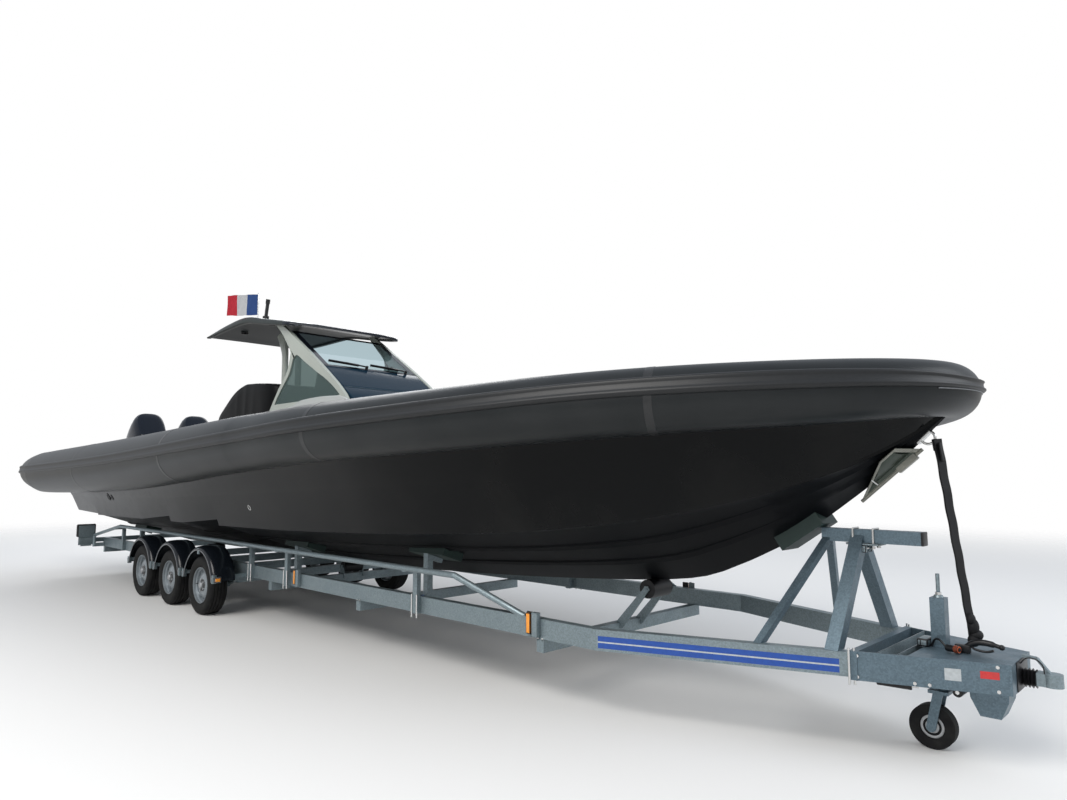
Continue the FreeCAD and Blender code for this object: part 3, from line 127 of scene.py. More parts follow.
def galvanised_material(name="galvanised", tint=(0.215, 0.265, 0.285)):
    material, tree, shader = new_material(name, tint, 0.42, metal=0.6)
    coords = add_node(tree, "TexCoord")
    spangle = add_node(tree, "TexVoronoi", {"Scale": 130.0}, {"Vector": coords.outputs["Object"]})
    vary(tree, shader, spangle, scaled(tint, 0.86), scaled(tint, 1.12), "Base Color", output="Color",
         start=0.2, end=0.8)
    vary(tree, shader, add_noise(tree, 6.0, 6.0), grey(0.34), grey(0.58), "Roughness")
    return material


def glass_material(name, tint, gloss=0.02, haze=None, haze_share=0.45):
    material = bpy.data.materials.new(name)
    material.use_nodes = True
    tree = material.node_tree
    tree.nodes.remove(tree.nodes["Principled BSDF"])
    clear = add_node(tree, "BsdfTransparent", {"Color": (*tint, 1)})
    shine = add_node(tree, "BsdfGlossy", {"Roughness": gloss})
    fresnel = add_node(tree, "Fresnel", {"IOR": 1.5})
    # Only the outer faces shine: inside the pane a flat reflection would grow too strong.
    facing = add_node(tree, "NewGeometry")
    outer = add_node(tree, "Math", {0: 1.0}, {1: facing.outputs["Backfacing"]}, operation="SUBTRACT")
    amount = add_node(tree, "Math", None, {0: fresnel.outputs["Fac"], 1: outer.outputs[0]},
                      operation="MULTIPLY")
    surface = add_node(tree, "MixShader", None, {"Fac": amount.outputs[0], 1: clear.outputs["BSDF"],
                                                 2: shine.outputs["BSDF"]})
    if haze:
        # A pale diffuse veil mixed over the pane.
        veil = add_node(tree, "BsdfDiffuse", {"Color": (*haze, 1)})
        surface = add_node(tree, "MixShader", {"Fac": haze_share},
                           {1: surface.outputs["Shader"], 2: veil.outputs["BSDF"]})
    set_surface(tree, surface)
    return material


def plain(name, color, rough=0.5, metal=0.0, coat=0.0, grain=0.0, scale=60.0, spec=0.5):
    material, tree, shader = new_material(name, color, rough, metal, coat, spec)
    texture = add_noise(tree, scale)
    # Broad patches differ less than a fine speckle.
    spread = 0.03 if scale < 10 else 0.1
    vary(tree, shader, texture, scaled(color, 1 - spread), scaled(color, 1 + spread), "Base Color")
    if grain:
        add_bump(tree, shader, texture, grain, 0.001)
    return material


M = {
    "hull": hull_material(),
    "hull_bottom": plain("hull_bottom_black", (0.0035, 0.004, 0.005), 0.45, spec=0.06),
    "collar": grained("collar_charcoal", (0.012, 0.013, 0.014), 0.36, 0.27, (3.0, 5.0), (0.007, 0.009, 0.010),
                      (0.013, 0.015, 0.016), (420.0, 0.25, 0.0006)),
    "strake": plain("strake_black", (0.012, 0.013, 0.014), 0.42, spec=0.35),
    "galvanised": galvanised_material(),
    # Painted shade: a darker, bluer copy of the galvanised steel, for the pieces that stand in shade under
    # the bow
    "galvanised_front": galvanised_material("galvanised_front", (0.118, 0.167, 0.200)),
    "tyre": grained("tyre_black", (0.013, 0.013, 0.014), 0.72, 0.18, (14.0, 6.0), (0.007, 0.007, 0.008),
                    (0.018, 0.018, 0.017), (260.0, 0.3, 0.0008), 0.4, 0.75),
    "rim": plain("rim_silver", (0.26, 0.29, 0.31), 0.32, metal=0.5),
    "guard": plain("guard_black", (0.006, 0.008, 0.011), 0.20, spec=0.35),
    # Painted highlight: the lighter grey of the mudguards' rolled lip and of the nose edge under the strake
    "guard_lip": plain("edge_highlight_grey", (0.16, 0.17, 0.18), 0.35),
    "navy": plain("navy_gelcoat", (0.004, 0.019, 0.036), 0.16, scale=3.0, spec=0.10),
    "silver": plain("silver_frame", (0.36, 0.39, 0.35), 0.28, coat=0.3, scale=4.0),
    "roof_rim": plain("roof_rim_grey", (0.022, 0.028, 0.027), 0.35, spec=0.2),
    "roof_under": plain("roof_underside", (0.013, 0.018, 0.020), 0.45, spec=0.2),
    "white": plain("white_gelcoat", (0.42, 0.44, 0.43), 0.22, coat=0.3, scale=4.0),
    "deck": plain("deck_grey", (0.30, 0.30, 0.29), 0.6, grain=0.3, scale=240.0),
    "cover": cloth_material("cover_black", (0.0012, 0.0013, 0.0018), (0.0028, 0.003, 0.0034), 0.42,
                            spec=0.10),
    "cushion": cloth_material("cushion_grey", (0.44, 0.44, 0.42), (0.47, 0.47, 0.45), 0.5),
    "black": plain("black_plastic", (0.006, 0.006, 0.007), 0.40, spec=0.4),
    "steel": plain("polished_steel", (0.62, 0.62, 0.61), 0.16, metal=1.0, scale=8.0),
    "engine": plain("engine_navy", (0.006, 0.010, 0.018), 0.16, scale=3.0, spec=0.25),
    "engine_panel": plain("engine_dark_panel", (0.012, 0.017, 0.027), 0.22, scale=3.0, spec=0.3),
    "glass": glass_material("windscreen_glass", (0.72, 0.81, 0.84)),
    "side_glass": glass_material("side_glass", (0.44, 0.50, 0.49), 0.04, haze=(0.150, 0.205, 0.200)),
    "frit": plain("glass_frit", (0.004, 0.005, 0.008), 0.1, coat=0.5),
    "flag_blue": cloth_material("flag_blue", (0.008, 0.034, 0.13), (0.012, 0.046, 0.16), 0.7),
    "flag_white": cloth_material("flag_white", (0.33, 0.34, 0.35), (0.39, 0.40, 0.41), 0.7),
    "flag_red": cloth_material("flag_red", (0.30, 0.008, 0.018), (0.36, 0.012, 0.024), 0.7),
    "amber": plain("lamp_amber", (0.85, 0.30, 0.02), 0.2, coat=0.5),
    "red": plain("lamp_red", (0.50, 0.012, 0.012), 0.2, coat=0.5),
    "webbing": cloth_material("strap_black", (0.004, 0.004, 0.005), (0.009, 0.009, 0.010), 0.7),
    "pad": plain("pad_dark_green", (0.006, 0.022, 0.018), 0.55),
    "blue": plain("stripe_blue", (0.008, 0.060, 0.30), 0.3),
    "roof_top": plain("roof_top_grey", (0.33, 0.35, 0.33), 0.3, coat=0.3, scale=4.0),
    "roof_front": plain("roof_front_navy", (0.003, 0.006, 0.012), 0.22, spec=0.3, scale=4.0),
    # Painted highlight: a light blue line along the crease of the windscreen fairing
    "crease": plain("crease_highlight", (0.05, 0.09, 0.12), 0.3),
    "lens_clear": plain("lens_clear", (0.62, 0.62, 0.60), 0.15, coat=0.5),
    "plate_white": plain("plate_white", (0.42, 0.45, 0.46), 0.5),
    "anchor_rim": plain("anchor_rim", (0.20, 0.20, 0.17), 0.3, metal=0.4),
    # Painted shade: the anchor's recessed dish is a darker copy of its rim metal
    "anchor_dish": plain("anchor_dish", (0.035, 0.048, 0.036), 0.35, metal=0.3),
    "orange": plain("plug_orange", (0.50, 0.10, 0.03), 0.45),
    "collar_seam": plain("collar_seam_grey", (0.016, 0.017, 0.018), 0.34, spec=0.4),
    "tyre_wall": plain("tyre_wall", (0.013, 0.013, 0.0125), 0.75, scale=30.0, spec=0.18),
    "nonslip": plain("nonslip_grey", (0.15, 0.155, 0.155), 0.75, grain=0.5, scale=420.0),
    "screen": plain("screen_black", (0.004, 0.005, 0.006), 0.08, spec=0.5),
    "hub_dark": plain("hub_dark", (0.05, 0.05, 0.052), 0.45),
    "cap": plain("hub_cap_grey", (0.36, 0.37, 0.38), 0.35, metal=0.6),
}

# The material of each CAD node, by the start of its name; the longest start that fits counts
FINISH = {
    "hull": "hull", "collar": "collar_", "strake": "rub_strake", "white": "console bow_lounge",
    "navy": "windscreen_fairing", "glass": "windows", "silver": "roof_frames", "roof_rim": "hardtop",
    "cover": "seat_cover", "cushion": "sunpad", "anchor_rim": "anchor", "flag_white": "flag",
    "black": "helm_wheel wipers light_mast coupling_bellows handbrake_lever keel_rollers",
    "steel": "deck_fittings flag_pole outboard_propeller", "engine": "outboard_", "guard": "mudguards",
    "galvanised": "axles frame_rails coupling_head cross_members guide_rails light_bar",
    # The drawbar, jockey parts and bow stand take the shaded copy of the galvanised steel: painted shade
    "galvanised_front": "drawbar jockey_casing jockey_tube jockey_fork bow_stand",
    "tyre": "tyre_ jockey_wheel", "rim": "rim_", "pad": "support_pads", "amber": "lamps",
    "webbing": "bow_strap",
}
STARTS = {start: key for key, starts in FINISH.items() for start in starts.split()}
for node_name, node in NODES.items():
    start = max((s for s in STARTS if node_name.startswith(s)), key=len)
    if not node.data.materials:
        node.data.materials.append(None)
    for slot in node.material_slots:
        slot.material = M[STARTS[start]]


# Softened edges on the plain mouldings and steelwork
for node_name, width in (
    ("console", 0.012), ("bow_lounge", 0.014), ("frame_rails", 0.005), ("cross_members", 0.004),
    ("drawbar", 0.003), ("bow_stand", 0.004), ("guide_rails", 0.003), ("light_bar", 0.003),
    ("jockey_casing", 0.004), ("coupling_head", 0.003), ("support_pads", 0.006),
):
    bevel = NODES[node_name].modifiers.new("soft_edges", "BEVEL")
    bevel.width = width
    bevel.segments = 2
    bevel.limit_method = "ANGLE"
    bevel.angle_limit = math.radians(40)
    bevel.harden_normals = False


# Mesh helpers
def add_object(name, data):
    obj = bpy.data.objects.new(name, data)
    bpy.context.scene.collection.objects.link(obj)
    return obj


def smooth_mesh(mesh, angle):
    for polygon in mesh.polygons:
        polygon.use_smooth = True
    if angle:
        mesh.set_sharp_from_angle(angle=math.radians(angle))


def finish_piece(obj, body, smooth=True, stands_for=(), angle=35.0):
    if smooth:
        smooth_mesh(obj.data, angle)
    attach(obj, body)
    if stands_for:
        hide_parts(*stands_for)
    return obj


def mesh_object(name, verts, faces, materials, face_materials=None):
    mesh = bpy.data.meshes.new(name)
    mesh.from_pydata([tuple(v) for v in verts], [], faces)
    mesh.validate()
    for key in materials:
        mesh.materials.append(M[key])
    if face_materials:
        for polygon, index in zip(mesh.polygons, face_materials):
            polygon.material_index = index
    mesh.update()
    return add_object(name, mesh)


def grid(rows, closed=False, caps=False):
    # Vertices and faces of a surface through rows of points; closed joins each row's ends.
    verts = [Vector(p) for row in rows for p in row]
    count = len(rows[0])
    faces = []
    span = count if closed else count - 1
    for i in range(len(rows) - 1):
        for j in range(span):
            a = i * count + j
            b = i * count + (j + 1) % count
            faces.append((a, b, b + count, a + count))
    if caps:
        faces.append(tuple(range(count - 1, -1, -1)))
        last = (len(rows) - 1) * count
        faces.append(tuple(range(last, last + count)))
    return verts, faces


def even_points(run, count):
    # Points evenly spaced along a broken line, its last one left out.
    points = [Vector((*p, 0)) for p in run]
    total = sum((b - a).length for a, b in zip(points, points[1:]))
    out = []
    for i in range(count):
        left = total * i / count
        for a, b in zip(points, points[1:]):
            part = (b - a).length
            if left <= part:
                break
            left -= part
        spot = a.lerp(b, left / part)
        out.append((spot.x, spot.y))
    return out


def fix_normals(obj):
    bm = bmesh.new()
    bm.from_mesh(obj.data)
    bmesh.ops.recalc_face_normals(bm, faces=bm.faces)
    bm.to_mesh(obj.data)
    bm.free()


def lerp(a, b, t):
    return a + (b - a) * t


def circle(centre, u, v, radius, count):
    # Points of a ring round a centre, in the plane of u and v.
    angles = [2 * math.pi * k / count for k in range(count)]
    return [centre + (u * math.cos(a) + v * math.sin(a)) * radius for a in angles]


def squircle(power, count):
    # Points of a unit ring with flattened sides: the higher the power, the squarer it is.
    points = []
    for k in range(count):
        a = 2 * math.pi * k / count
        c, s = math.cos(a), math.sin(a)
        m = (abs(c) ** power + abs(s) ** power) ** (1 / power)
        points.append((c / m, s / m))
    return points


# Curves through tables of values
def spline_rows(rows, steps):
    # Catmull-Rom through rows of numbers: steps points for each span.
    rows = [tuple(r) for r in rows]
    out = []
    for i in range(len(rows) - 1):
        p0 = rows[max(i - 1, 0)]
        p1, p2 = rows[i], rows[i + 1]
        p3 = rows[min(i + 2, len(rows) - 1)]
        for k in range(steps):
            t = k / steps
            out.append(tuple(
                0.5 * (2 * b + (c - a) * t + (2 * a - 5 * b + 4 * c - d) * t * t
                       + (3 * b - a - 3 * c + d) * t ** 3)
                for a, b, c, d in zip(p0, p1, p2, p3)))
    out.append(rows[-1])
    return out


def monotone(table, column):
    # Smooth function of x through a table, with no overshoot.
    rows = sorted((r[0], r[column]) for r in table)
    xs = [r[0] for r in rows]
    ys = [r[1] for r in rows]
    slopes = [(ys[i + 1] - ys[i]) / (xs[i + 1] - xs[i]) for i in range(len(xs) - 1)]
    ends = [slopes[0]]
    for a, b in zip(slopes, slopes[1:]):
        ends.append(0.0 if a * b <= 0 else 2 * a * b / (a + b))
    ends.append(slopes[-1])

    def value(x):
        x = min(max(x, xs[0]), xs[-1])
        i = max(k for k in range(len(xs) - 1) if xs[k] <= x)
        h = xs[i + 1] - xs[i]
        t = (x - xs[i]) / h
        return ((2 * t ** 3 - 3 * t ** 2 + 1) * ys[i] + (t ** 3 - 2 * t ** 2 + t) * h * ends[i]
                + (3 * t ** 2 - 2 * t ** 3) * ys[i + 1] + (t ** 3 - t ** 2) * h * ends[i + 1])
    return value


# Stations of the hull: x, keel z, chine half breadth, chine z
HULL_ROWS = (
    (-4.030, 0.470, 1.200, 0.880), (-1.960, 0.480, 1.200, 0.900), (0.720, 0.512, 1.200, 0.932),
    (2.320, 0.568, 1.190, 0.980), (3.530, 0.640, 1.060, 1.040), (4.350, 0.722, 0.830, 1.130),
    (4.970, 0.968, 0.560, 1.262), (5.454, 1.295, 0.290, 1.430), (5.773, 1.563, 0.095, 1.612),
    (5.912, 1.705, 0.022, 1.722),
)
# Stations of the collar: x, half breadth, z, radius, strake angle, strake breadth
COLLAR_ROWS = (
    (-6.350, 1.550, 1.460, 0.014, 0.0, 1.0), (-6.262, 1.548, 1.455, 0.092, 4.0, 1.0),
    (-5.990, 1.535, 1.446, 0.192, 8.0, 1.0), (-5.560, 1.512, 1.441, 0.262, 9.0, 1.0),
    (-4.930, 1.500, 1.442, 0.290, 9.0, 1.0), (-1.960, 1.500, 1.515, 0.290, 9.0, 1.0),
    (0.720, 1.550, 1.640, 0.240, 8.0, 1.0), (1.300, 1.549, 1.665, 0.228, 9.0, 1.0),
    (2.320, 1.540, 1.705, 0.210, 12.0, 1.0), (3.530, 1.385, 1.742, 0.198, 17.0, 1.0),
    (4.350, 1.160, 1.778, 0.190, 20.0, 1.0), (4.970, 0.900, 1.802, 0.180, 20.0, 1.0),
    (5.500, 0.580, 1.821, 0.167, 18.0, 0.96), (5.820, 0.285, 1.837, 0.151, 13.0, 0.79),
    (5.930, 0.000, 1.843, 0.143, 6.0, 0.56),
)
STEPS_X = (-0.225, -1.470)
STEP_RISE = 0.062
STEP_RUN = 0.890
RUNNING_END = -4.030
TRANSOM_X = -4.930
COCKPIT = (-3.650, 3.300, 1.200, 0.980)
ENGINE_WELL = (-4.930, -3.970, 1.290, 0.980)

keel_at = monotone(HULL_ROWS, 1)
chine_y_at = monotone(HULL_ROWS, 2)
chine_z_at = monotone(HULL_ROWS, 3)
tube_y_at = monotone(COLLAR_ROWS[:-1], 1)
tube_z_at = monotone(COLLAR_ROWS[:-1], 2)
tube_r_at = monotone(COLLAR_ROWS[:-1], 3)


def step_rise(x, before):
    # Height of the running surface above its line aft of a step.
    # before: the station just ahead of the face.
    for face in STEPS_X:
        if abs(x - face) < 1e-6:
            return 0.0 if before else STEP_RISE
        if face - STEP_RUN < x < face:
            return STEP_RISE * (1 - (face - x) / STEP_RUN)
    return 0.0


def hull_half(x, before=False):
    # One side of a section, from the keel up and round over the deck to the centre line.
    tube_y, tube_z, tube_r = tube_y_at(x), tube_z_at(x), tube_r_at(x)
    aft = x < RUNNING_END or (abs(x - RUNNING_END) < 1e-6 and not before)
    if aft:
        keel = chine_z = 0.885 + 0.02 * (RUNNING_END - x) / (RUNNING_END - TRANSOM_X)
        chine_y = 1.200
    else:
        keel, chine_y, chine_z = keel_at(x), chine_y_at(x), chine_z_at(x)
    rise = 0.0 if aft else step_rise(x, before)
    deck_y = max(tube_y - 0.7 * tube_r, chine_y + 0.002)
    seat_y = max(tube_y - 0.35 * tube_r, chine_y + 0.004)
    deck_z = tube_z + 0.028
    seat_z = tube_z - 0.55 * tube_r
    points = [(0.0, keel + rise)]
    rail = 0.0 if aft else 0.016 * min(1.0, max(0.0, (5.3 - x) / 0.8))
    for share, width in ((0.36, 0.045), (0.66, 0.045)):
        y = chine_y * share
        z = keel + (chine_z - keel) * share + rise
        fall = (chine_z - keel) * width / max(chine_y, 0.05)
        points.append((y, z))
        points.append((y + 0.001, z - rail))
        points.append((min(y + width, chine_y * (share + 0.12)), z + fall - rail * 0.6))
        points.append((min(y + width + 0.002, chine_y * (share + 0.13)), z + fall + 0.001))
    flat = 0.055 if x < 5.0 else 0.055 * max(0.0, (5.85 - x) / 0.85)
    inner_y = max(chine_y - flat, chine_y * 0.8)
    points.append((inner_y, keel + (chine_z - keel) * inner_y / max(chine_y, 1e-4) + rise))
    points.append((chine_y + 0.003, chine_z + rise - (0.0 if aft else 0.012)))
    points.append((chine_y + 0.006, chine_z + 0.006 + (0.0 if aft else rise)))
    crease_z = lerp(chine_z, seat_z, 0.52)
    crease_y = lerp(chine_y, seat_y, 0.46)
    points.append((crease_y, crease_z))
    points.append((crease_y + 0.006, crease_z + 0.008))
    points.append((seat_y, seat_z))
    points.append((deck_y, deck_z))
    if COCKPIT[0] - 1e-6 <= x <= COCKPIT[1] + 1e-6:
        edge = COCKPIT[3] if x < 1.9 else lerp(COCKPIT[3], 0.660, (x - 1.9) / 1.4)
        inside = not ((abs(x - COCKPIT[1]) < 1e-6 and before) or (abs(x - COCKPIT[0]) < 1e-6 and not before))
        floor = COCKPIT[2] if inside else deck_z
    elif ENGINE_WELL[0] - 1e-6 <= x <= ENGINE_WELL[1] + 1e-6:
        edge = ENGINE_WELL[3]
        inside = not (abs(x - ENGINE_WELL[1]) < 1e-6 and before)
        floor = ENGINE_WELL[2] if inside else deck_z
    else:
        edge = min(0.66, deck_y * 0.8)
        floor = deck_z
    edge = min(edge, deck_y - 0.01)
    points.append((edge, deck_z))
    points.append((edge - 0.004 if floor < deck_z else edge * 0.98, floor))
    points.append((0.0, floor))
    return points


# Faces of a section's half from the keel to the chine
BOTTOM_FACES = 10
# Faces of a section's half on the deck, counted from the centre line
DECK_FACES = 4


def build_pod():
    # The transom pod that carries the brackets.
    pod = Builder()
    rows = []
    for y in (-0.675, -0.667, 0.667, 0.675):
        drop = 0.008 if abs(y) > 0.67 else 0.0
        rows.append([(-5.108 + drop, y, 0.932 + drop), (-5.072 + drop, y, 1.432), (-5.066, y, 1.440 - drop),
                     (-4.744, y, 1.440 - drop), (-4.740 - drop, y, 1.432), (-4.740 - drop, y, 1.285),
                     (-4.925, y, 1.285), (-4.925, y, 0.932 + drop)])
    pod.surface(rows, "hull", closed=True, caps=True)
    pod.finish("engine_pod", "root", slot="hull_gelcoat", angle=40)


def build_hull():
    # Stations lie closer together over the bow; doubled ones stand at the steps and well ends.
    xs = [5.912 - 0.06 * i for i in range(20)]
    xs += [4.7 - 0.12 * i for i in range(1, 73)]
    doubles = [COCKPIT[1], COCKPIT[0], ENGINE_WELL[1], RUNNING_END] + list(STEPS_X)
    marks = doubles + [TRANSOM_X] + [face - STEP_RUN for face in STEPS_X]
    xs = sorted({round(x, 4) for x in xs if x > TRANSOM_X
                 and min(abs(x - m) for m in marks) > 0.02} | set(marks), reverse=True)
    rows = []
    for x in xs:
        for before in (True, False) if x in doubles else (False,):
            half = hull_half(x, before)
            rows.append([(x, -y, z) for y, z in half] + [(x, y, z) for y, z in reversed(half[1:-1])])
    verts, faces = grid(rows, closed=True)
    count = len(rows[0])
    half_count = (count + 2) // 2
    face_materials = []
    for face in faces:
        j = face[0] % count
        j = min(j, count - 1 - j)
        face_materials.append(2 if j < BOTTOM_FACES else 0 if j < half_count - DECK_FACES else 1)
    last = (len(rows) - 1) * count
    faces += [tuple(range(count)), tuple(range(last + count - 1, last - 1, -1))]
    face_materials += [0, 0]
    obj = mesh_object("hull_skin", verts, faces, ["hull", "deck", "hull_bottom"], face_materials)
    fix_normals(obj)
    build_pod()
    finish_piece(obj, "root", stands_for=["hull"], angle=24)


# Joins boxes, rods and turned shapes into one mesh with several materials.
class Builder:
    def __init__(self, *keys):
        # A bevel's new faces take the first material: one given here, or else the one used first.
        self.bm = bmesh.new()
        self.keys = list(keys)

    def index(self, key):
        if key not in self.keys:
            self.keys.append(key)
        return self.keys.index(key)

    def close(self, verts, key, bevel=0.0, segments=2):
        faces = {f for v in verts for f in v.link_faces}
        for face in faces:
            face.material_index = self.index(key)
        if bevel:
            edges = list({e for f in faces for e in f.edges})
            bmesh.ops.bevel(self.bm, geom=edges, offset=bevel, segments=segments, profile=0.5,
                            affect="EDGES", clamp_overlap=True)

    def block(self, centre, turn, size, key, bevel):
        matrix = Matrix.Translation(centre) @ turn @ Matrix.Diagonal((*size, 1))
        self.close(bmesh.ops.create_cube(self.bm, size=1, matrix=matrix)["verts"], key, bevel)

    def box(self, low, high, key, bevel=0.002):
        low, high = Vector(low), Vector(high)
        self.block((low + high) / 2, Matrix(), high - low, key, bevel)

    def side_box(self, sign, xs, ys, zs, key, bevel):
        # A box given for the port side, mirrored where sign is -1.
        y0, y1 = sorted(sign * y for y in ys)
        self.box((xs[0], y0, zs[0]), (xs[1], y1, zs[1]), key, bevel)

    def bar(self, a, b, wide, deep, side, key, bevel=0.002):
        a, b, side = Vector(a), Vector(b), Vector(side)
        along = (b - a).normalized()
        across = (side - along * side.dot(along)).normalized()
        turn = Matrix((along, across, along.cross(across))).transposed().to_4x4()
        self.block((a + b) / 2, turn, ((b - a).length, wide, deep), key, bevel)

    def rod(self, a, b, radius, key, sides=20, end=None, bevel=0.0):
        a, b = Vector(a), Vector(b)
        turn = (b - a).to_track_quat("Z", "Y").to_matrix().to_4x4()
        verts = bmesh.ops.create_cone(self.bm, cap_ends=True, segments=sides, radius1=radius,
                                      radius2=radius if end is None else end, depth=(b - a).length,
                                      matrix=Matrix.Translation((a + b) / 2) @ turn)["verts"]
        self.close(verts, key, bevel, 1)

    def ball(self, centre, radius, key, scale=(1, 1, 1)):
        matrix = Matrix.Translation(Vector(centre)) @ Matrix.Diagonal((*scale, 1))
        verts = bmesh.ops.create_uvsphere(self.bm, u_segments=20, v_segments=12, radius=radius,
                                          matrix=matrix)["verts"]
        self.close(verts, key)

    def add_faces(self, points, faces, pick):
        # pick gives the material of a face from the numbers of its points.
        verts = [self.bm.verts.new(p) for p in points]
        for face in faces:
            made = self.bm.faces.new([verts[i] for i in face])
            made.material_index = self.index(pick(face))

    def surface(self, rows, key, closed=False, caps=False):
        self.add_faces(*grid(rows, closed, caps), lambda face: key)

    def lathe(self, profile, centre, axis, key, sides):
        # profile: points of (distance along the axis, radius)
        centre, axis = Vector(centre), Vector(axis).normalized()
        u = axis.orthogonal().normalized()
        w = axis.cross(u)
        rows = []
        for i in range(sides + 1):
            a = 2 * math.pi * i / sides
            rows.append([centre + axis * t + (u * math.cos(a) + w * math.sin(a)) * r for t, r in profile])
        self.surface(rows, key)

    def pipe(self, path, radius, key, sides):
        self.surface(sweep(path, lambda t: radius, sides), key, closed=True, caps=True)

    def clean(self):
        bmesh.ops.remove_doubles(self.bm, verts=self.bm.verts, dist=1e-5)
        bmesh.ops.recalc_face_normals(self.bm, faces=self.bm.faces)

    def mesh(self, name):
        mesh = bpy.data.meshes.new(name)
        self.bm.to_mesh(mesh)
        self.bm.free()
        for key in self.keys:
            mesh.materials.append(M[key])
        return mesh

    def finish(self, name, body, smooth=True, slot=None, stands_for=(), angle=35.0):
        self.clean()
        return finish_piece(add_object(name, self.mesh(name)), body, smooth, stands_for, angle)


def direction(path, i):
    return (path[min(i + 1, len(path) - 1)] - path[max(i - 1, 0)]).normalized()


def sweep(path, radius_at, sides):
    # Rings of points along a path, carried on without a twist.
    path = [Vector(p) for p in path]
    rows = []
    side = None
    for i, point in enumerate(path):
        along = direction(path, i)
        if side is None:
            side = along.orthogonal()
        side = (side - along * side.dot(along)).normalized()
        rows.append(circle(point, side, along.cross(side), radius_at(i / (len(path) - 1)), sides))
    return rows


def curve(points, steps):
    return [Vector(p) for p in spline_rows(points, steps)]


# Collar: rings square to a curve that runs from one stern end round the bow to the other
def collar_path():
    rows = [(x, -y, z, r, a, b) for x, y, z, r, a, b in COLLAR_ROWS]
    rows += [(x, y, z, r, a, b) for x, y, z, r, a, b in reversed(COLLAR_ROWS[:-1])]
    fine = spline_rows(rows, 14)
    out = []
    for i, (x, y, z, r, a, b) in enumerate(fine):
        before = Vector(fine[max(i - 1, 0)][:3])
        after = Vector(fine[min(i + 1, len(fine) - 1)][:3])
        along = (after - before).normalized()
        side = Vector((along.y, -along.x, 0)).normalized()
        up = side.cross(along).normalized()
        out.append((Vector((x, y, z)), along, side, up, max(r, 0.012), math.radians(a), b))
    return out


COLLAR_SEAMS = (4.75, 2.3, -0.35, -3.0, -5.35)
COLLAR_SIDES = 72


def build_collar():
    path = collar_path()
    rows = [circle(centre, side, up, radius, COLLAR_SIDES) for centre, along, side, up, radius, *rest in path]
    verts, faces = grid(rows, closed=True, caps=True)
    obj = mesh_object("collar_skin", verts, faces, ["collar"])
    fix_normals(obj)
    finish_piece(obj, "root", stands_for=["collar_sides", "collar_bow"], angle=50)
    seams = Builder()
    for seam_x in COLLAR_SEAMS:
        for sign in (-1, 1):
            same_side = [row for row in path if row[0].y * sign > 0]
            centre, along, side, up, radius, *rest = min(same_side, key=lambda row: abs(row[0].x - seam_x))
            section = ((-0.024, -0.001), (-0.022, 0.0014), (0.022, 0.0014), (0.024, -0.001))
            rows = [circle(centre + along * shift, side, up, radius + proud, COLLAR_SIDES)
                    for shift, proud in section]
            seams.surface(rows, "collar_seam", closed=True)
    seams.finish("collar_seams", "root", slot="collar_fabric")


def strake_point(station, turn, reach):
    centre, along, side, up, *rest = station
    return centre + (side * math.cos(turn) + up * math.sin(turn)) * reach


def build_strake():
    # Across the band: distance from its middle, height over the tube
    rising = ((-0.054, -0.002), (-0.052, 0.006), (-0.046, 0.013), (-0.036, 0.019), (-0.026, 0.019),
              (-0.018, 0.012), (-0.010, 0.010))
    profile = rising + tuple((-offset, tall) for offset, tall in reversed(rising))
    rows = []
    for station in collar_path()[10:-10]:
        radius, angle, breadth = station[4:]
        rows.append([strake_point(station, angle + min(max(offset * breadth / radius, -1.0), 1.0),
                                  radius + min(tall, radius * 0.35) + (0.0 if tall < 0 else 0.0005))
                     for offset, tall in profile])
    verts, faces = grid(rows)
    obj = mesh_object("strake_band", verts, faces, ["strake"])
    fix_normals(obj)
    finish_piece(obj, "root", stands_for=["rub_strake"], angle=0)


def build_nose_line():
    # The pale edge under the strake's tip: a painted highlight.
    builder = Builder()
    rows = [[strake_point(station, station[5] - offset * station[6] / station[4], station[4] + tall)
             for offset, tall in ((0.056, -0.002), (0.0565, 0.005), (0.064, 0.005), (0.0645, -0.002))]
            for station in collar_path() if station[0].x >= 5.84]
    builder.surface(rows, "guard_lip", closed=True, caps=True)
    builder.finish("nose_line", "root", slot="collar_fabric", angle=30)


# Road wheels
WHEEL_Y = 1.110
WHEEL_Z = 0.289
AXLES_X = (-0.650, -1.495, -2.340)
TREAD_BLOCKS = 120
SHOULDER_Y, SHOULDER_R, SHOULDER_CUT = 0.056, 0.2840, 0.0045
WALL_R = 0.2645


def tyre_mesh():
    half = [(0.063, 0.178), (0.076, 0.184), (0.085, 0.200), (0.0905, 0.222), (0.0922, 0.240), (0.0905, 0.256),
            (0.086, 0.268), (0.080, 0.277), (0.074, 0.2825), (0.066, 0.2865)]
    for groove in (0.047, 0.016):
        half += [(groove + 0.0055, 0.2885), (groove + 0.0042, 0.2815), (groove - 0.0042, 0.2815),
                 (groove - 0.0055, 0.2888)]
    profile = half + [(-y, r) for y, r in reversed(half)] + [(-0.055, 0.1785), (0.055, 0.1785)]
    rows = []
    for i in range(TREAD_BLOCKS + 1):
        a = 2 * math.pi * i / TREAD_BLOCKS
        row = []
        for y, r in profile:
            if r > SHOULDER_R and abs(y) > SHOULDER_Y and i % 2:
                r -= SHOULDER_CUT
            row.append((math.cos(a) * r, y, math.sin(a) * r))
        rows.append(row)
    builder = Builder()
    builder.surface(rows, "tyre", closed=True)
    builder.clean()
    for face in builder.bm.faces:
        centre = face.calc_center_median()
        if math.hypot(centre.x, centre.z) < WALL_R:
            face.material_index = builder.index("tyre_wall")
    return builder.mesh("tyre")


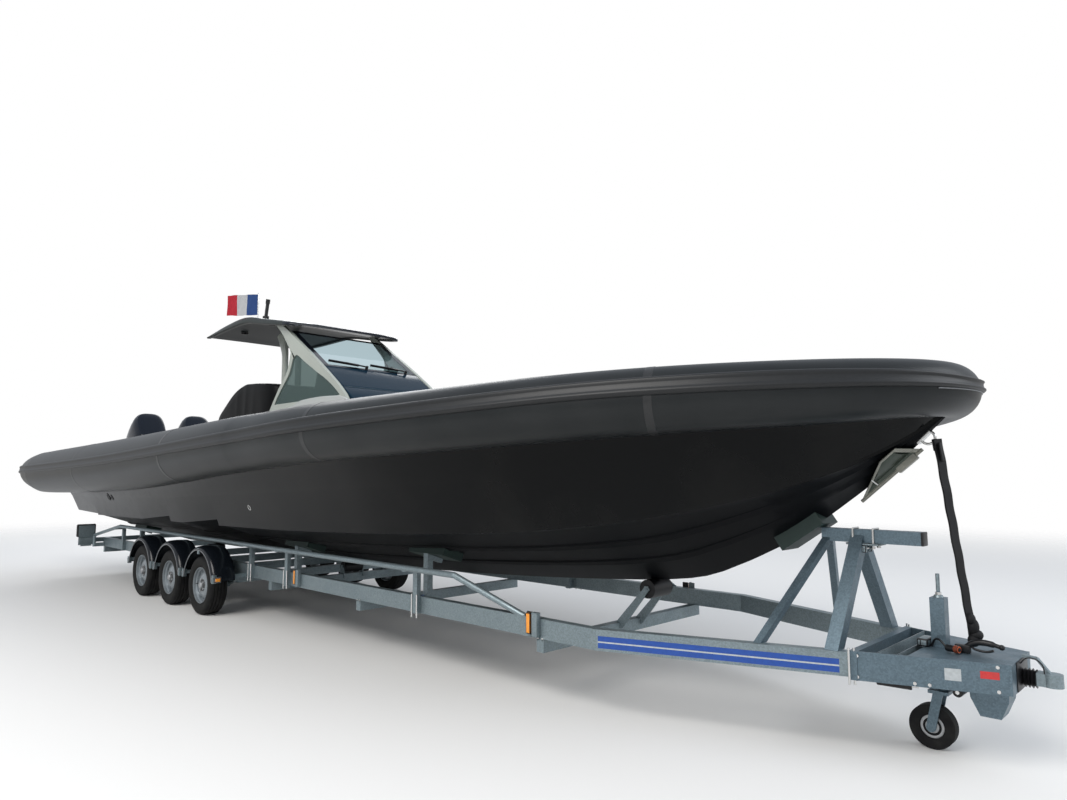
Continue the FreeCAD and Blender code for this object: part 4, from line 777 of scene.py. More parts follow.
def rim_disc(builder, sectors, back):
    # A dished disc with a ring of round holes; back is how far behind the face the layer lies.
    def dish(r):
        if r < 0.120:
            return lerp(0.0525, 0.0395, min(max((r - 0.095) / 0.025, 0), 1))
        return lerp(0.0395, 0.0225, (r - 0.120) / 0.053)

    def spot(theta, r):
        return (math.cos(theta) * r, dish(r) - back, math.sin(theta) * r)

    inner, outer, hole_r, hole = 0.116, 0.158, 0.137, 0.0135
    width = math.pi / sectors
    rings = []
    for s in range(sectors):
        middle = 2 * math.pi * s / sectors
        holes, edges = [], []
        for k in range(16):
            a = 2 * math.pi * (k + 0.5) / 16
            c, d = math.cos(a), math.sin(a)
            holes.append(spot(middle + c * hole * 0.82 / hole_r, hole_r + d * hole))
            m = max(abs(c), abs(d))
            edges.append(spot(middle + c / m * width, lerp(inner, outer, (d / m + 1) / 2)))
        builder.surface([edges, holes], "rim", closed=True)
        rings.append(holes)
    for low, high in ((0.0235, 0.060), (0.060, 0.095), (0.095, inner), (outer, 0.1728)):
        angles = [2 * math.pi * (i - 0.5) / 64 for i in range(65)]
        builder.surface([[spot(a, r) for r in (low, high)] for a in angles], "rim")
    return rings


def rim_mesh():
    builder = Builder()
    front = rim_disc(builder, 16, 0.0)
    rear = rim_disc(builder, 16, 0.006)
    for pair in zip(front, rear):
        builder.surface(pair, "rim", closed=True)
    barrel = [(0.075, 0.1775), (0.0775, 0.1770), (0.0775, 0.1725), (0.070, 0.1700), (0.052, 0.1690),
              (0.046, 0.1620), (0.030, 0.1580), (0.0, 0.1580), (-0.040, 0.1600), (-0.062, 0.1700),
              (-0.0755, 0.1720), (-0.0755, 0.1777), (-0.060, 0.1775), (0.060, 0.1775), (0.075, 0.1775)]
    hub = [(0.020, 0.088), (0.044, 0.060), (0.0545, 0.058), (0.0560, 0.050), (0.0560, 0.0)]
    cap = [(0.055, 0.034), (0.074, 0.033), (0.081, 0.027), (0.084, 0.014), (0.0845, 0.0)]
    for profile, key, sides in ((barrel, "rim", 64), (hub, "hub_dark", 32), (cap, "cap", 28)):
        builder.lathe(profile, (0, 0, 0), (0, 1, 0), key, sides)
    for k in range(5):
        a = 2 * math.pi * (k + 0.25) / 5
        x, z = math.cos(a) * 0.056, math.sin(a) * 0.056
        builder.rod((x, 0.050, z), (x, 0.068, z), 0.0105, "cap", sides=6, end=0.0095)
    builder.rod((0.0, 0.036, 0.150), (0.0, 0.062, 0.1505), 0.0035, "black", sides=8)
    builder.clean()
    return builder.mesh("rim")


def build_wheels():
    tyre, rim = tyre_mesh(), rim_mesh()
    smooth_mesh(tyre, 40)
    smooth_mesh(rim, 30)
    for side_name, sign in SIDES:
        for number, x in enumerate(AXLES_X, 1):
            for kind, mesh, slot in (("tyre", tyre, "tyre_rubber"), ("rim", rim, "silver_paint")):
                node = "%s_%s_%d" % (kind, side_name, number)
                obj = add_object(node + "_look", mesh)
                # Quarter turns keep the box of a turned mesh tight, so the size that is read is true.
                turn = number * math.pi / 2
                obj.matrix_world = (Matrix.Translation((x, sign * WHEEL_Y, WHEEL_Z))
                                    @ (Matrix() if sign > 0 else Matrix.Rotation(math.pi, 4, "Z"))
                                    @ Matrix.Rotation(turn, 4, "Y"))
                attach(obj, "wheel_%s_%d" % (side_name, number))
                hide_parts(node)


# Mudguards: a domed arch over each wheel with a rolled outer edge
GUARD_SWEEP = (10.6, 169.4)
GUARD_STEPS = 56


def build_guards():
    arch, fit = Builder(), Builder()
    shape = ((-0.1115, 0.379), (-0.1125, 0.3875), (-0.104, 0.3925), (-0.080, 0.3945), (-0.030, 0.3965),
             (0.020, 0.3965), (0.062, 0.3935), (0.088, 0.3870), (0.102, 0.3775), (0.1090, 0.3660),
             (0.1110, 0.3560))
    lip = ((0.1110, 0.3560), (0.1150, 0.3555), (0.1160, 0.3495), (0.1115, 0.3470), (0.1070, 0.3490),
           (0.1065, 0.3545))
    under = ((0.1065, 0.3545), (0.1030, 0.3650), (0.0960, 0.3735), (0.0840, 0.3815), (0.060, 0.3880),
             (0.020, 0.3905), (-0.030, 0.3905), (-0.080, 0.3885), (-0.1060, 0.3850), (-0.1115, 0.3790))
    angles = [math.radians(lerp(*GUARD_SWEEP, i / GUARD_STEPS)) for i in range(GUARD_STEPS + 1)]
    for sign in (-1, 1):
        for x in AXLES_X:
            # The rolled lip takes the lighter grey: a painted highlight along the edge
            for part, key in ((shape, "guard"), (lip, "guard_lip"), (under, "guard")):
                arch.surface([[(x + math.cos(a) * r, sign * (WHEEL_Y + y), WHEEL_Z + math.sin(a) * r)
                               for y, r in part] for a in angles], key)
            for foot_x in (x - 0.372, x + 0.372):
                fit.side_box(sign, (foot_x - 0.014, foot_x + 0.014), (1.185, 1.225), (0.345, 0.425),
                             "galvanised", 0.002)
                fit.rod((foot_x, sign * 1.223, 0.395), (foot_x, sign * 1.231, 0.395), 0.007, "steel", 6)
        front_x = AXLES_X[0] + 0.405
        fit.side_box(sign, (front_x - 0.012, front_x + 0.006), (1.150, 1.222), (0.352, 0.408), "black", 0.004)
        fit.side_box(sign, (front_x + 0.004, front_x + 0.012), (1.160, 1.212), (0.362, 0.398), "amber", 0.003)
        fit.side_box(sign, (AXLES_X[0] - 0.03, AXLES_X[0] + 0.01), (1.205, 1.219), (0.600, 0.660),
                     "galvanised", 0.003)
    arch.finish("guard_arches", "root", slot="guard_plastic", stands_for=["mudguards"], angle=45)
    fit.finish("guard_fittings", "root", slot="galvanised_steel")


# Deckhouse
GLASS_FOOT = (0.560, 2.468)
GLASS_HEAD = (-0.125, 2.908)


def loop_curve(corners, steps):
    # Closed outline through named corners, with the given number of points for each side.
    points = []
    for i, corner in enumerate(corners):
        after = corners[(i + 1) % len(corners)]
        for k in range(steps):
            t = k / steps
            points.append(tuple(lerp(a, b, t) for a, b in zip(corner, after)))
    return points


def build_side_frames():
    builder = Builder()
    # Four runs round each frame, outside then inside: front edge, bottom, rear edge, head
    outside = (
        ((-0.300, 3.006), (-0.077, 2.874), (0.026, 2.806), (0.230, 2.684), (0.450, 2.546), (0.664, 2.406),
         (0.890, 2.250), (1.028, 2.131), (1.080, 2.066)),
        ((1.080, 2.066), (-0.500, 2.064)),
        ((-0.500, 2.064), (-0.400, 2.185), (-0.300, 2.300), (-0.200, 2.390), (-0.125, 2.460), (-0.085, 2.560),
         (-0.062, 2.655)),
        ((-0.062, 2.655), (-0.100, 2.762), (-0.255, 2.888), (-0.430, 3.022), (-0.300, 3.006)),
    )
    inside = (
        ((0.060, 2.628), (0.095, 2.618), (0.244, 2.532), (0.487, 2.406), (0.640, 2.334), (0.800, 2.240),
         (0.920, 2.150)),
        ((0.920, 2.150), (0.885, 2.138), (-0.385, 2.138)),
        ((-0.385, 2.138), (-0.330, 2.205), (-0.240, 2.295), (-0.150, 2.372), (-0.080, 2.440), (-0.040, 2.530),
         (-0.012, 2.588)),
        ((-0.012, 2.588), (0.010, 2.606), (0.030, 2.618), (0.060, 2.628)),
    )
    outer, inner = [], []
    for runs, loop in ((outside, outer), (inside, inner)):
        for run, count in zip(runs, (16, 8, 12, 6)):
            loop += even_points(run, count)
    for sign in (-1, 1):
        rows = []
        for loop, y in ((outer, 0.566), (outer, 0.600), (inner, 0.598), (inner, 0.568), (outer, 0.566)):
            rows.append([(x, sign * y, z) for x, z in loop])
        builder.surface(rows, "silver", closed=True)
    for y in (-0.085, 0.085):
        path = curve([(x, y, z) for x, z in (
            (-1.180, 1.202), (-1.180, 1.800), (-1.180, 2.500), (-1.182, 2.780), (-1.196, 2.880),
            (-1.235, 2.980), (-1.290, 3.095))], 5)
        rows = []
        for i, p in enumerate(path):
            fore = Vector((0, 1, 0)).cross(direction(path, i))
            # The posts grow deeper where they meet the roof.
            deep = 0.045 if p.z < 2.8 else lerp(0.045, 0.085, (p.z - 2.8) / 0.3)
            rows.append([p + fore * (u * deep) + Vector((0, v * 0.025, 0)) for u, v in squircle(4, 16)])
        builder.surface(rows, "silver", closed=True, caps=True)
    builder.finish("frames_look", "root", slot="silver_paint", stands_for=["roof_frames"], angle=30)


def build_hardtop():
    builder = Builder()
    # Across the roof at each x: height of the rim's underside, of its top, and half breadth
    low_at = monotone(((-2.100, 3.068), (-1.700, 3.076), (-1.040, 3.092), (-0.550, 3.020), (-0.060, 2.940),
                       (0.070, 2.925)), 1)
    high_at = monotone(((-2.100, 3.092), (-1.600, 3.136), (-1.040, 3.165), (-0.550, 3.085), (-0.060, 2.992),
                        (0.070, 2.962)), 1)
    half_at = monotone(((-2.100, 0.655), (-1.500, 0.690), (-1.040, 0.700), (-0.300, 0.700), (0.000, 0.690),
                        (0.050, 0.665), (0.070, 0.640)), 1)
    xs = [-2.100, -2.090, -2.05, -1.98, -1.9, -1.8, -1.7, -1.55, -1.4, -1.25, -1.1, -1.0, -0.85, -0.7,
          -0.55, -0.4, -0.25, -0.15, -0.08, -0.03, 0.0, 0.03, 0.055, 0.070]
    rows = []
    for x in xs:
        half, low, high = half_at(x), low_at(x), high_at(x)
        tall = high - low
        lift = min(0.022, tall * 0.45)
        ring = [(half * 0.3, low + lift * 1.3), (half * 0.6, low + lift * 1.15), (half - 0.060, low + lift),
                (half - 0.048, low + 0.002), (half - 0.012, low), (half - 0.003, low + 0.004),
                (half, low + 0.012), (half - 0.004, high - tall * 0.35), (half - 0.014, high - 0.008),
                (half - 0.028, high - 0.001), (half - 0.050, high + 0.002), (half * 0.6, high + 0.012)]
        rows.append([(x, y, z) for y, z in ring] + [(x, -y, z) for y, z in reversed(ring)])
    count = len(rows[0])
    points, faces = grid(rows, closed=True, caps=True)

    def pick(face):
        if len(face) > 4:
            return "roof_front" if face[0] > count else "roof_rim"
        j = face[0] % count
        j = min(j, count - 2 - j) if j < count - 1 else -1
        x = sum(points[i].x for i in face) / 4
        if j < 3:
            return "roof_under" if x < -0.30 else "roof_front"
        if j >= 9:
            return "roof_top"
        return "roof_front" if x > -0.10 else "roof_rim"

    builder.add_faces(points, faces, pick)
    builder.lathe([(0.0, 0.0), (0.0, 0.045), (-0.012, 0.043), (-0.022, 0.030), (-0.025, 0.0)],
                  (-1.560, -0.420, 3.098), (0, 0, 1), "black", 24)
    builder.rod((-0.60, -0.55, 3.030), (-0.60, -0.55, 3.046), 0.030, "black", 20)
    builder.finish("hardtop_look", "root", slot="navy_gelcoat", stands_for=["hardtop"], angle=28)


def build_windscreen():
    panes, trim, wipers = Builder(), Builder(), Builder()
    foot, head = Vector((GLASS_FOOT[0], 0, GLASS_FOOT[1])), Vector((GLASS_HEAD[0], 0, GLASS_HEAD[1]))
    along = (foot - head).normalized()
    out = Vector((-along.z, 0, along.x))
    foot, head = foot - out * 0.004, head - out * 0.004
    panes.bar(head, foot, 1.110, 0.007, (0, 1, 0), "glass", 0.0)
    hole = ((0.060, 2.630), (0.098, 2.620), (0.247, 2.534), (0.490, 2.408), (0.642, 2.336), (0.802, 2.242),
            (0.924, 2.150), (0.885, 2.134), (-0.390, 2.136), (-0.332, 2.207), (-0.242, 2.297),
            (-0.152, 2.374), (-0.083, 2.442), (-0.043, 2.532), (-0.014, 2.590), (0.010, 2.610))
    for sign in (-1, 1):
        for y in (0.578, 0.588):
            pane = [(x, sign * y, z) for x, z in hole]
            panes.add_faces(pane, [range(len(pane))], lambda face: "side_glass")
        edge = Vector((0, sign * 0.528, 0)) + out * 0.0045
        trim.bar(head + edge, foot + edge, 0.056, 0.002, (0, 1, 0), "frit", 0.0)
    for t, wide in ((0.020, 0.045), (0.975, 0.035)):
        p = head.lerp(foot, t) + out * 0.0045
        trim.bar(p + Vector((0, -0.554, 0)), p + Vector((0, 0.554, 0)), wide, 0.002, along, "frit", 0.0)
    panes.finish("panes_look", "root", smooth=False, slot="tinted_glass", stands_for=["windows"])
    profile = [(0.325, 2.064), (0.372, 2.240), (0.430, 2.420), (0.470, 2.468), (0.520, 2.482), (0.562, 2.468),
               (0.700, 2.378), (0.880, 2.258), (0.896, 2.246), (0.899, 2.236), (0.915, 2.228), (1.000, 2.172),
               (1.075, 2.118), (1.094, 2.096), (1.100, 2.064)]
    rows = []
    for y in (-0.558, -0.552, -0.40, -0.20, 0.0, 0.20, 0.40, 0.552, 0.558):
        drop = 0.004 if abs(y) > 0.555 else 0.0
        rows.append([(x - drop * 0.5, y, max(z - drop, 2.064)) for x, z in profile])
    trim.surface(rows, "navy", closed=True, caps=True)
    # A painted highlight line along the fairing's crease
    trim.bar((0.9035, -0.545, 2.2375), (0.9035, 0.545, 2.2375), 0.004, 0.004, (1, 0, 0), "crease", 0.0)
    trim.finish("fairing_look", "root", slot="navy_gelcoat", stands_for=["windscreen_fairing"], angle=30)
    base = foot + along * -0.035 + out * 0.026
    for foot_y, tip_y in ((0.430, 0.020), (-0.060, -0.470)):
        a = Vector((base.x, foot_y, base.z))
        b = a + Vector((0, (tip_y - foot_y) * 0.55, 0)) + along * -0.050
        wipers.rod(a - out * 0.030, a + out * 0.010, 0.017, "black", 16, end=0.013)
        wipers.bar(a, b, 0.020, 0.012, along, "black", 0.003)
        c = Vector((b.x, foot_y - 0.08, b.z)) + along * 0.018
        d = Vector((b.x, tip_y, b.z)) + along * -0.024
        wipers.bar(c, d, 0.014, 0.010, along, "black", 0.003)
        wipers.bar(c - out * 0.012, d - out * 0.012, 0.006, 0.016, along, "black", 0.001)
    wipers.finish("wipers_look", "root", slot="black_plastic", stands_for=["wipers"])


def build_coaming():
    builder = Builder()
    top = monotone(((-0.480, 2.066), (-0.150, 2.076), (0.050, 2.100), (0.220, 2.143), (0.550, 2.154),
                    (0.900, 2.142), (1.060, 2.112), (1.120, 2.066)), 1)
    for sign in (-1, 1):
        rows = []
        for i in range(41):
            x = lerp(-0.480, 1.120, i / 40)
            z = top(x)
            rows.append([(x, sign * y, tall) for y, tall in (
                (0.6015, 2.0625), (0.6015, z - 0.006), (0.606, z), (0.616, z), (0.6215, z - 0.007),
                (0.6235, 2.0625))])
        builder.surface(rows, "white", closed=True, caps=True)
    builder.finish("coaming_look", "root", slot="white_gelcoat")


COVER_TOP = ((-2.190, 2.020), (-1.900, 2.190), (-1.500, 2.405), (-1.270, 2.452), (-0.950, 2.432),
             (-0.640, 2.392), (-0.580, 2.320))
COVER_POINTS = 240


def build_cover():
    # A fabric cover drawn over the seats, hanging to the cockpit floor in folds.
    rng = random.Random(7)
    waves = [(rng.uniform(0, 6.28), rng.choice((5, 7, 9, 11, 14)), rng.uniform(0.3, 1.0)) for _ in range(6)]
    top_at = monotone(COVER_TOP, 1)
    cx, cy, hx, hy = -1.385, 0.0, 0.800, 0.515
    angles = [2 * math.pi * i / COVER_POINTS for i in range(COVER_POINTS)]
    around = list(zip(angles, squircle(7, COVER_POINTS)))

    def fold(a, depth):
        value = sum(k * math.sin(n * a + p + depth * 1.6 * math.sin(2 * a + p)) for p, n, k in waves) / 3.2
        return 0.2 - abs(value) * 1.4

    rows = []
    for k in range(15):
        t = k / 14
        row = []
        for a, (u, v) in around:
            x, y = cx + u * hx * 0.992, cy + v * hy * 0.992
            push = fold(a, t) * lerp(0.024, 0.007, t)
            row.append((min(max(x + math.cos(a) * push, -2.195), -0.575), y + math.sin(a) * push,
                        lerp(1.204, top_at(x) - 0.030, t)))
        rows.append(row)
    for scale, lift in ((0.985, -0.010), (0.965, 0.0), (0.90, 0.004), (0.75, 0.006), (0.55, 0.003),
                        (0.35, 0.0), (0.15, -0.002), (0.02, -0.002)):
        row = []
        for a, (u, v) in around:
            x, y = cx + u * hx * scale, cy + v * hy * scale
            sag = 0.018 * math.sin(y * 9.0) * math.sin(x * 7.0 + 1.0) * (1 - scale)
            crease = fold(a, 1.0) * 0.006 * scale
            row.append((x, y, top_at(x) + lift + sag + crease - 0.012 * (abs(y) / hy) ** 4))
        rows.append(row)
    verts, faces = grid(rows, closed=True)
    obj = mesh_object("cover_cloth", verts, faces, ["cover"])
    fix_normals(obj)
    finish_piece(obj, "root", stands_for=["seat_cover"], angle=0)


# The flag flies from its pole with a slight slack
FLAG_FLY = 0.376
FLAG_HOIST = 0.242


def build_flag():
    start = Vector((-1.0667, -0.505, 0))
    fly = Vector((-1, -0.75, 0)).normalized()
    side = fly.cross(Vector((0, 0, 1))).normalized()
    low = 3.2295
    cols, lines = 48, 24
    rows = []
    for j in range(lines + 1):
        v = j / lines
        row = []
        for i in range(cols + 1):
            u = i / cols
            wave = (0.0095 * math.sin(u * 13.0 + v * 1.6) * min(1.0, u * 3.0)
                    + 0.002 * math.sin(u * 29 + v * 7))
            sag = -0.004 * math.sin(math.pi * u) * (1 - v) - 0.006 * u * u * (v - 0.3)
            p = start + fly * (u * FLAG_FLY) + side * wave
            row.append((p.x, p.y, low + v * FLAG_HOIST + sag))
        rows.append(row)
    verts, faces = grid(rows)
    bands = [3 * (face[0] % (cols + 1)) // cols for face in faces]
    obj = mesh_object("flag_cloth", verts, faces, ["flag_blue", "flag_white", "flag_red"], bands)
    finish_piece(obj, "root", stands_for=["flag"], angle=0)


def build_sunpad():
    outline = [(1.250, -0.540), (2.190, -0.540), (2.880, -0.365), (2.880, 0.365), (2.190, 0.540),
               (1.250, 0.540)]
    builder = Builder()
    cx = sum(p[0] for p in outline) / 6
    rows = []
    for scale, z in ((1.0, 1.7465), (1.0, 1.760), (1.0, 1.815), (0.992, 1.830), (0.970, 1.8385),
                     (0.93, 1.8395), (0.7, 1.840), (0.4, 1.8405)):
        rows.append([(cx + (x - cx) * scale, y * scale, z) for x, y in loop_curve(outline, 8)])
    builder.surface(rows, "cushion", closed=True, caps=True)
    obj = builder.finish("sunpad_look", "root", slot="cushion_vinyl", stands_for=["sunpad"], angle=0)


# Outboard engines
ENGINE_Y = 0.345
TILT_X, TILT_Z = -5.180, 1.420
PARKED_TILT = 55.0
STEER_X = -5.275
COWL_FOOT_Z = 1.500
COWL_TALL = 0.640
COWL_WIDE = 0.480
# Cowl sections: height, aft end, fore end and half breadth, as shares of its size
COWL_ROWS = (
    (0.000, -0.60, 0.180, 0.350), (0.020, -0.615, 0.195, 0.370), (0.120, -0.640, 0.225, 0.425),
    (0.250, -0.660, 0.240, 0.460), (0.450, -0.685, 0.235, 0.475), (0.650, -0.705, 0.220, 0.475),
    (0.800, -0.715, 0.195, 0.460), (0.900, -0.700, 0.165, 0.430), (0.960, -0.665, 0.130, 0.385),
    (0.990, -0.600, 0.090, 0.310), (1.000, -0.500, 0.030, 0.200),
)


def build_engines():
    middle_x = STEER_X - 0.060
    for side_name, sign in SIDES:
        rows = []
        for z, back, front, half in COWL_ROWS:
            x0, x1 = middle_x + back * COWL_TALL, middle_x + front * COWL_TALL
            mx, hx, hy = (x0 + x1) / 2, (x1 - x0) / 2, half * COWL_WIDE
            rows.append([(mx + u * hx, sign * ENGINE_Y + v * hy, COWL_FOOT_Z + 0.0405 + z * COWL_TALL)
                         for u, v in squircle(3.2, 48)])
        points, faces = grid(rows, closed=True, caps=True)

        def pick(face):
            middle = sum((points[i] for i in face), Vector()) / len(face)
            rear = middle.x < middle_x - 0.335 and 0.12 < (middle.z - COWL_FOOT_Z) / COWL_TALL < 1.0
            return "engine_panel" if rear else "engine"

        builder = Builder()
        builder.add_faces(points, faces, pick)
        pivot = Vector((TILT_X, sign * ENGINE_Y, TILT_Z))
        turn = Matrix.Rotation(math.radians(PARKED_TILT), 4, "Y")
        bmesh.ops.transform(builder.bm, matrix=Matrix.Translation(pivot) @ turn @ Matrix.Translation(-pivot),
                            verts=builder.bm.verts)
        builder.finish("cowl_look_" + side_name, "outboard_" + side_name, slot="engine_paint",
                       stands_for=["outboard_cowl_" + side_name], angle=30)


# Bow strap
STRAP_TWIST = -0.48


def build_strap():
    builder = Builder()
    top, low = Vector((5.8648, 0, 1.588)), Vector((5.984, 0, 0.560))
    along = (low - top).normalized()
    out = Vector((0, 1, 0)).cross(along)
    across = Vector((0, 1, 0)) * math.cos(STRAP_TWIST) + out * math.sin(STRAP_TWIST)
    thick = across.cross(along) * 0.005
    rows = []
    for i in range(61):
        t = i / 60
        wide = across * lerp(0.0265, 0.0225, t)
        centre = top.lerp(low, t) + out * 0.0015 * math.sin(t * 40)
        rows.append([centre + wide + thick, centre - wide + thick, centre - wide - thick,
                     centre + wide - thick])
    builder.surface(rows, "webbing", closed=True, caps=True)
    # Folds at the bow eye, then the knot at the foot
    for a, b, lift in ((0.0, 0.17, 0.010), (0.02, 0.115, -0.011), (0.0, 0.06, 0.018)):
        builder.bar(top.lerp(low, a) + out * lift, top.lerp(low, b) + out * lift, 0.050, 0.008, (0, 1, 0),
                    "webbing", 0.003)
    for centre, scale in (((0, 0, 0.075), (0.75, 0.8, 1.2)), ((0.008, 0.012, 0.035), (0.9, 1.0, 0.8)),
                          ((-0.006, -0.012, 0.115), (0.6, 0.75, 0.8)), ((0.0, 0.0, 0.010), (0.8, 0.9, 0.9))):
        builder.ball(low + Vector(centre), 0.036, "webbing", scale)
    builder.finish("strap_look", "root", slot="strap_webbing", stands_for=["bow_strap"], angle=40)


# Lamps at the tail and on the rails
LAMP_X = -4.9206
LAMP_Y = (1.210, 0.970)
MARKERS_X = (0.735, 3.720)


def build_lamps():
    builder = Builder()
    for sign in (-1, 1):
        builder.side_box(sign, (LAMP_X - 0.050, LAMP_X), LAMP_Y, (0.521, 0.699), "black", 0.016)
        for key, a, b in (("amber", 0.14, 0.36), ("red", 0.38, 0.78), ("lens_clear", 0.80, 0.92)):
            builder.side_box(sign, (LAMP_X - 0.055, LAMP_X - 0.048), (lerp(*LAMP_Y, a), lerp(*LAMP_Y, b)),
                             (0.540, 0.680), key, 0.003)
        mid = sign * sum(LAMP_Y) / 2
        for dx, key, half in ((-0.009, "red", 0.069), (-0.004, "galvanised", 0.075)):
            builder.surface([[(x, mid - half, 0.392), (x, mid + half, 0.392), (x, mid, 0.515)]
                             for x in (LAMP_X + dx, LAMP_X + dx + 0.0045)], key, closed=True, caps=True)
    for x in MARKERS_X:
        for sign in (-1, 1):
            # The bracket's return is broader on the starboard side.
            reach = 0.88625 if sign > 0 else 0.914
            for xs, ys, zs, key, bevel in (
                ((-0.025, 0.025), (0.8825, 0.892), (0.402, 0.543), "black", 0.003),
                ((-0.020, 0.020), (0.891, 0.908), (0.408, 0.537), "amber", 0.006),
                ((0.034, 0.040), (0.8825, 0.914), (0.395, 0.545), "galvanised", 0.001),
                ((0.034, 0.085), (0.8825, reach), (0.395, 0.545), "galvanised", 0.001),
            ):
                builder.side_box(sign, (x + xs[0], x + xs[1]), ys, zs, key, bevel)
    builder.finish("lamps_look", "root", slot="lamp_plastic", stands_for=["lamps"])


# Rail stripe, plates, clamps and fittings of the trailer
RAIL_Y = 0.882
RAIL_BEND_X = 4.250
RAIL_BEND = math.radians(19.9)


def rail_face(x):
    # Half breadth of the trailer at the rails' outer face, which bends in towards the coupling.
    return RAIL_Y - max(0.0, x - RAIL_BEND_X) * math.tan(RAIL_BEND)


def build_trailer_fittings():
    builder = Builder()
    for sign in (-1, 1):
        # Stripe and blank plates: ends, foot and head, how proud they stand
        strips = [((4.262, 5.478), (0.402, 0.470), 0.0006, "blue"),
                  ((4.262, 5.478), (0.4325, 0.4405), 0.0010, "plate_white"),
                  ((5.920, 5.986), (0.419, 0.475), 0.0050, "plate_white")]
        if sign < 0:
            strips.append(((6.060, 6.134), (0.442, 0.476), 0.0050, "red"))
        for xs, zs, proud, key in strips:
            builder.surface([[(x, sign * (rail_face(x) + proud), z) for z in zs] for x in xs], key)
        for dx in (-0.030, 0.030):
            x, y = 5.535 + dx * 0.3, sign * (rail_face(5.535 + dx) + 0.008)
            builder.rod((x, y, 0.350), (x, y, 0.530), 0.006, "steel", 10)
        # U-bolts; their clamp plate reaches further out on the port side
        reach = 0.909 if sign > 0 else 0.869
        for middle in (0.600, -0.130, 2.560):
            for x in (middle - 0.030, middle + 0.030):
                builder.rod((x, sign * 0.922, 0.358), (x, sign * 0.922, 0.524), 0.006, "steel", 10)
            builder.side_box(sign, (middle - 0.040, middle + 0.040), (0.860, reach), (0.510, 0.516),
                             "galvanised", 0.001)
    builder.finish("trailer_fittings", "root", slot="galvanised_steel")


def build_coupling_look():
    builder = Builder()
    x0, x1 = 6.184, 6.244
    profile = [(0.0, 0.030)]
    for i in range(4):
        x = (x1 - x0) * i / 4
        profile += [(x, 0.046), (x + 0.006, 0.034)]
    profile += [(x1 - x0, 0.044), (x1 + 0.0015 - x0, 0.030)]
    builder.lathe(profile, (x0, 0, 0.430), (1, 0, 0), "black", 40)
    builder.finish("bellows_look", "root", slot="strake_rubber", stands_for=["coupling_bellows"], angle=50)


# Anchor, hull outlets and the fittings of the stand and drawbar
def build_anchor_look():
    builder = Builder()
    tip, heel = Vector((5.463, 0, 1.250)), Vector((5.790, 0, 1.535))
    run = (heel - tip) * 0.25
    for side in (-1, 1):
        corner = Vector((5.620, side * 0.150, 1.465))
        outline = [tip, corner, corner + run, heel]
        middle = sum(outline, Vector()) / 4
        into = (corner - tip).cross(heel - tip).normalized() * side
        into = -into if into.x > 0 else into
        inner = [p.lerp(middle, 0.20) for p in outline]
        bed = [p.lerp(middle, 0.34) + into * 0.014 for p in outline]
        builder.surface([[p + into * 0.004 for p in outline], outline, inner], "anchor_rim", closed=True)
        # The recessed dish takes the darker copy of the metal: painted shade
        builder.surface([inner, bed], "anchor_dish", closed=True)
        fold = [bed[0].lerp(bed[1], 0.5), bed[2].lerp(bed[3], 0.5)]
        ridge = [p - into * 0.010 for p in fold]
        builder.surface([[bed[0], bed[0], bed[3]], [fold[0], ridge[0], fold[1]]], "anchor_dish")
        builder.surface([[bed[0], bed[3]], [ridge[0], ridge[1]]], "anchor_dish")
        builder.surface([[ridge[0], ridge[1]], [bed[1], bed[2]]], "anchor_dish")
        builder.rod(tip.lerp(heel, 0.30) + into * 0.004, tip.lerp(corner, 0.55) + into * 0.004, 0.005,
                    "steel", 10)
    builder.rod(tip, heel, 0.010, "anchor_rim", 16)
    builder.bar((5.655, 0, 1.430), (5.752, 0, 1.512), 0.034, 0.060, (0, 1, 0), "anchor_rim", 0.004)
    builder.finish("anchor_look", "root", slot="stainless", stands_for=["anchor"], angle=25)


def side_y(x, z):
    # Half breadth of the hull side at a height.
    points = hull_half(x)[BOTTOM_FACES:]
    for (ya, za), (yb, zb) in zip(points, points[1:]):
        if za <= z <= zb:
            return lerp(ya, yb, (z - za) / (zb - za))
    return points[0][0]


def build_hull_outlets():
    builder = Builder()
    fore = Vector((1, 0, 0))
    for side in (-1, 1):
        for x, z, wide, tall, key in ((-3.300, 1.120, 0.036, 0.052, "black"),
                                      (-3.180, 1.112, 0.030, 0.044, "black"),
                                      (0.580, 1.106, 0.026, 0.026, "steel")):
            y, above = side_y(x, z), side_y(x, z + 0.03)
            out = Vector((0, side * 0.03, y - above)).normalized()
            up = out.cross(fore).normalized()
            centre = Vector((x, side * y, z))
            rows = [circle(centre + out * lift, fore * wide, up * tall, share, 28) for lift, share in (
                (-0.004, 1.0), (0.004, 1.0), (0.006, 0.86), (0.004, 0.66), (0.0015, 0.60), (0.0015, 0.0))]
            builder.surface(rows[:4], key, closed=True)
            builder.surface(rows[3:], "black", closed=True)
    builder.finish("hull_outlets", "root", slot="black_plastic", angle=40)


def build_stand_fittings():
    builder = Builder()
    builder.box((5.770, -0.037, 1.023), (5.783, 0.037, 1.097), "black", 0.004)
    for x in (5.419, 5.528):
        for y in (-0.042, 0.042):
            builder.rod((x, y, 1.004), (x, y, 1.097), 0.0055, "steel", 10)
            builder.rod((x, y, 0.994), (x, y, 1.006), 0.011, "steel", 6)
        builder.rod((x, -0.042, 1.1015), (x, 0.042, 1.1015), 0.0055, "steel", 10)
    builder.box((5.385, -0.058, 1.012), (5.562, 0.058, 1.0225), "galvanised", 0.002)
    builder.box((5.430, -0.055, 0.972), (5.492, -0.032, 1.012), "galvanised", 0.004)
    builder.box((5.430, 0.032, 0.972), (5.492, 0.055, 1.012), "galvanised", 0.004)
    for x in (5.445, 5.478):
        builder.rod((x, -0.064, 0.992), (x, 0.064, 0.992), 0.007, "steel", 6)
    builder.finish("stand_fittings", "root", slot="galvanised_steel")


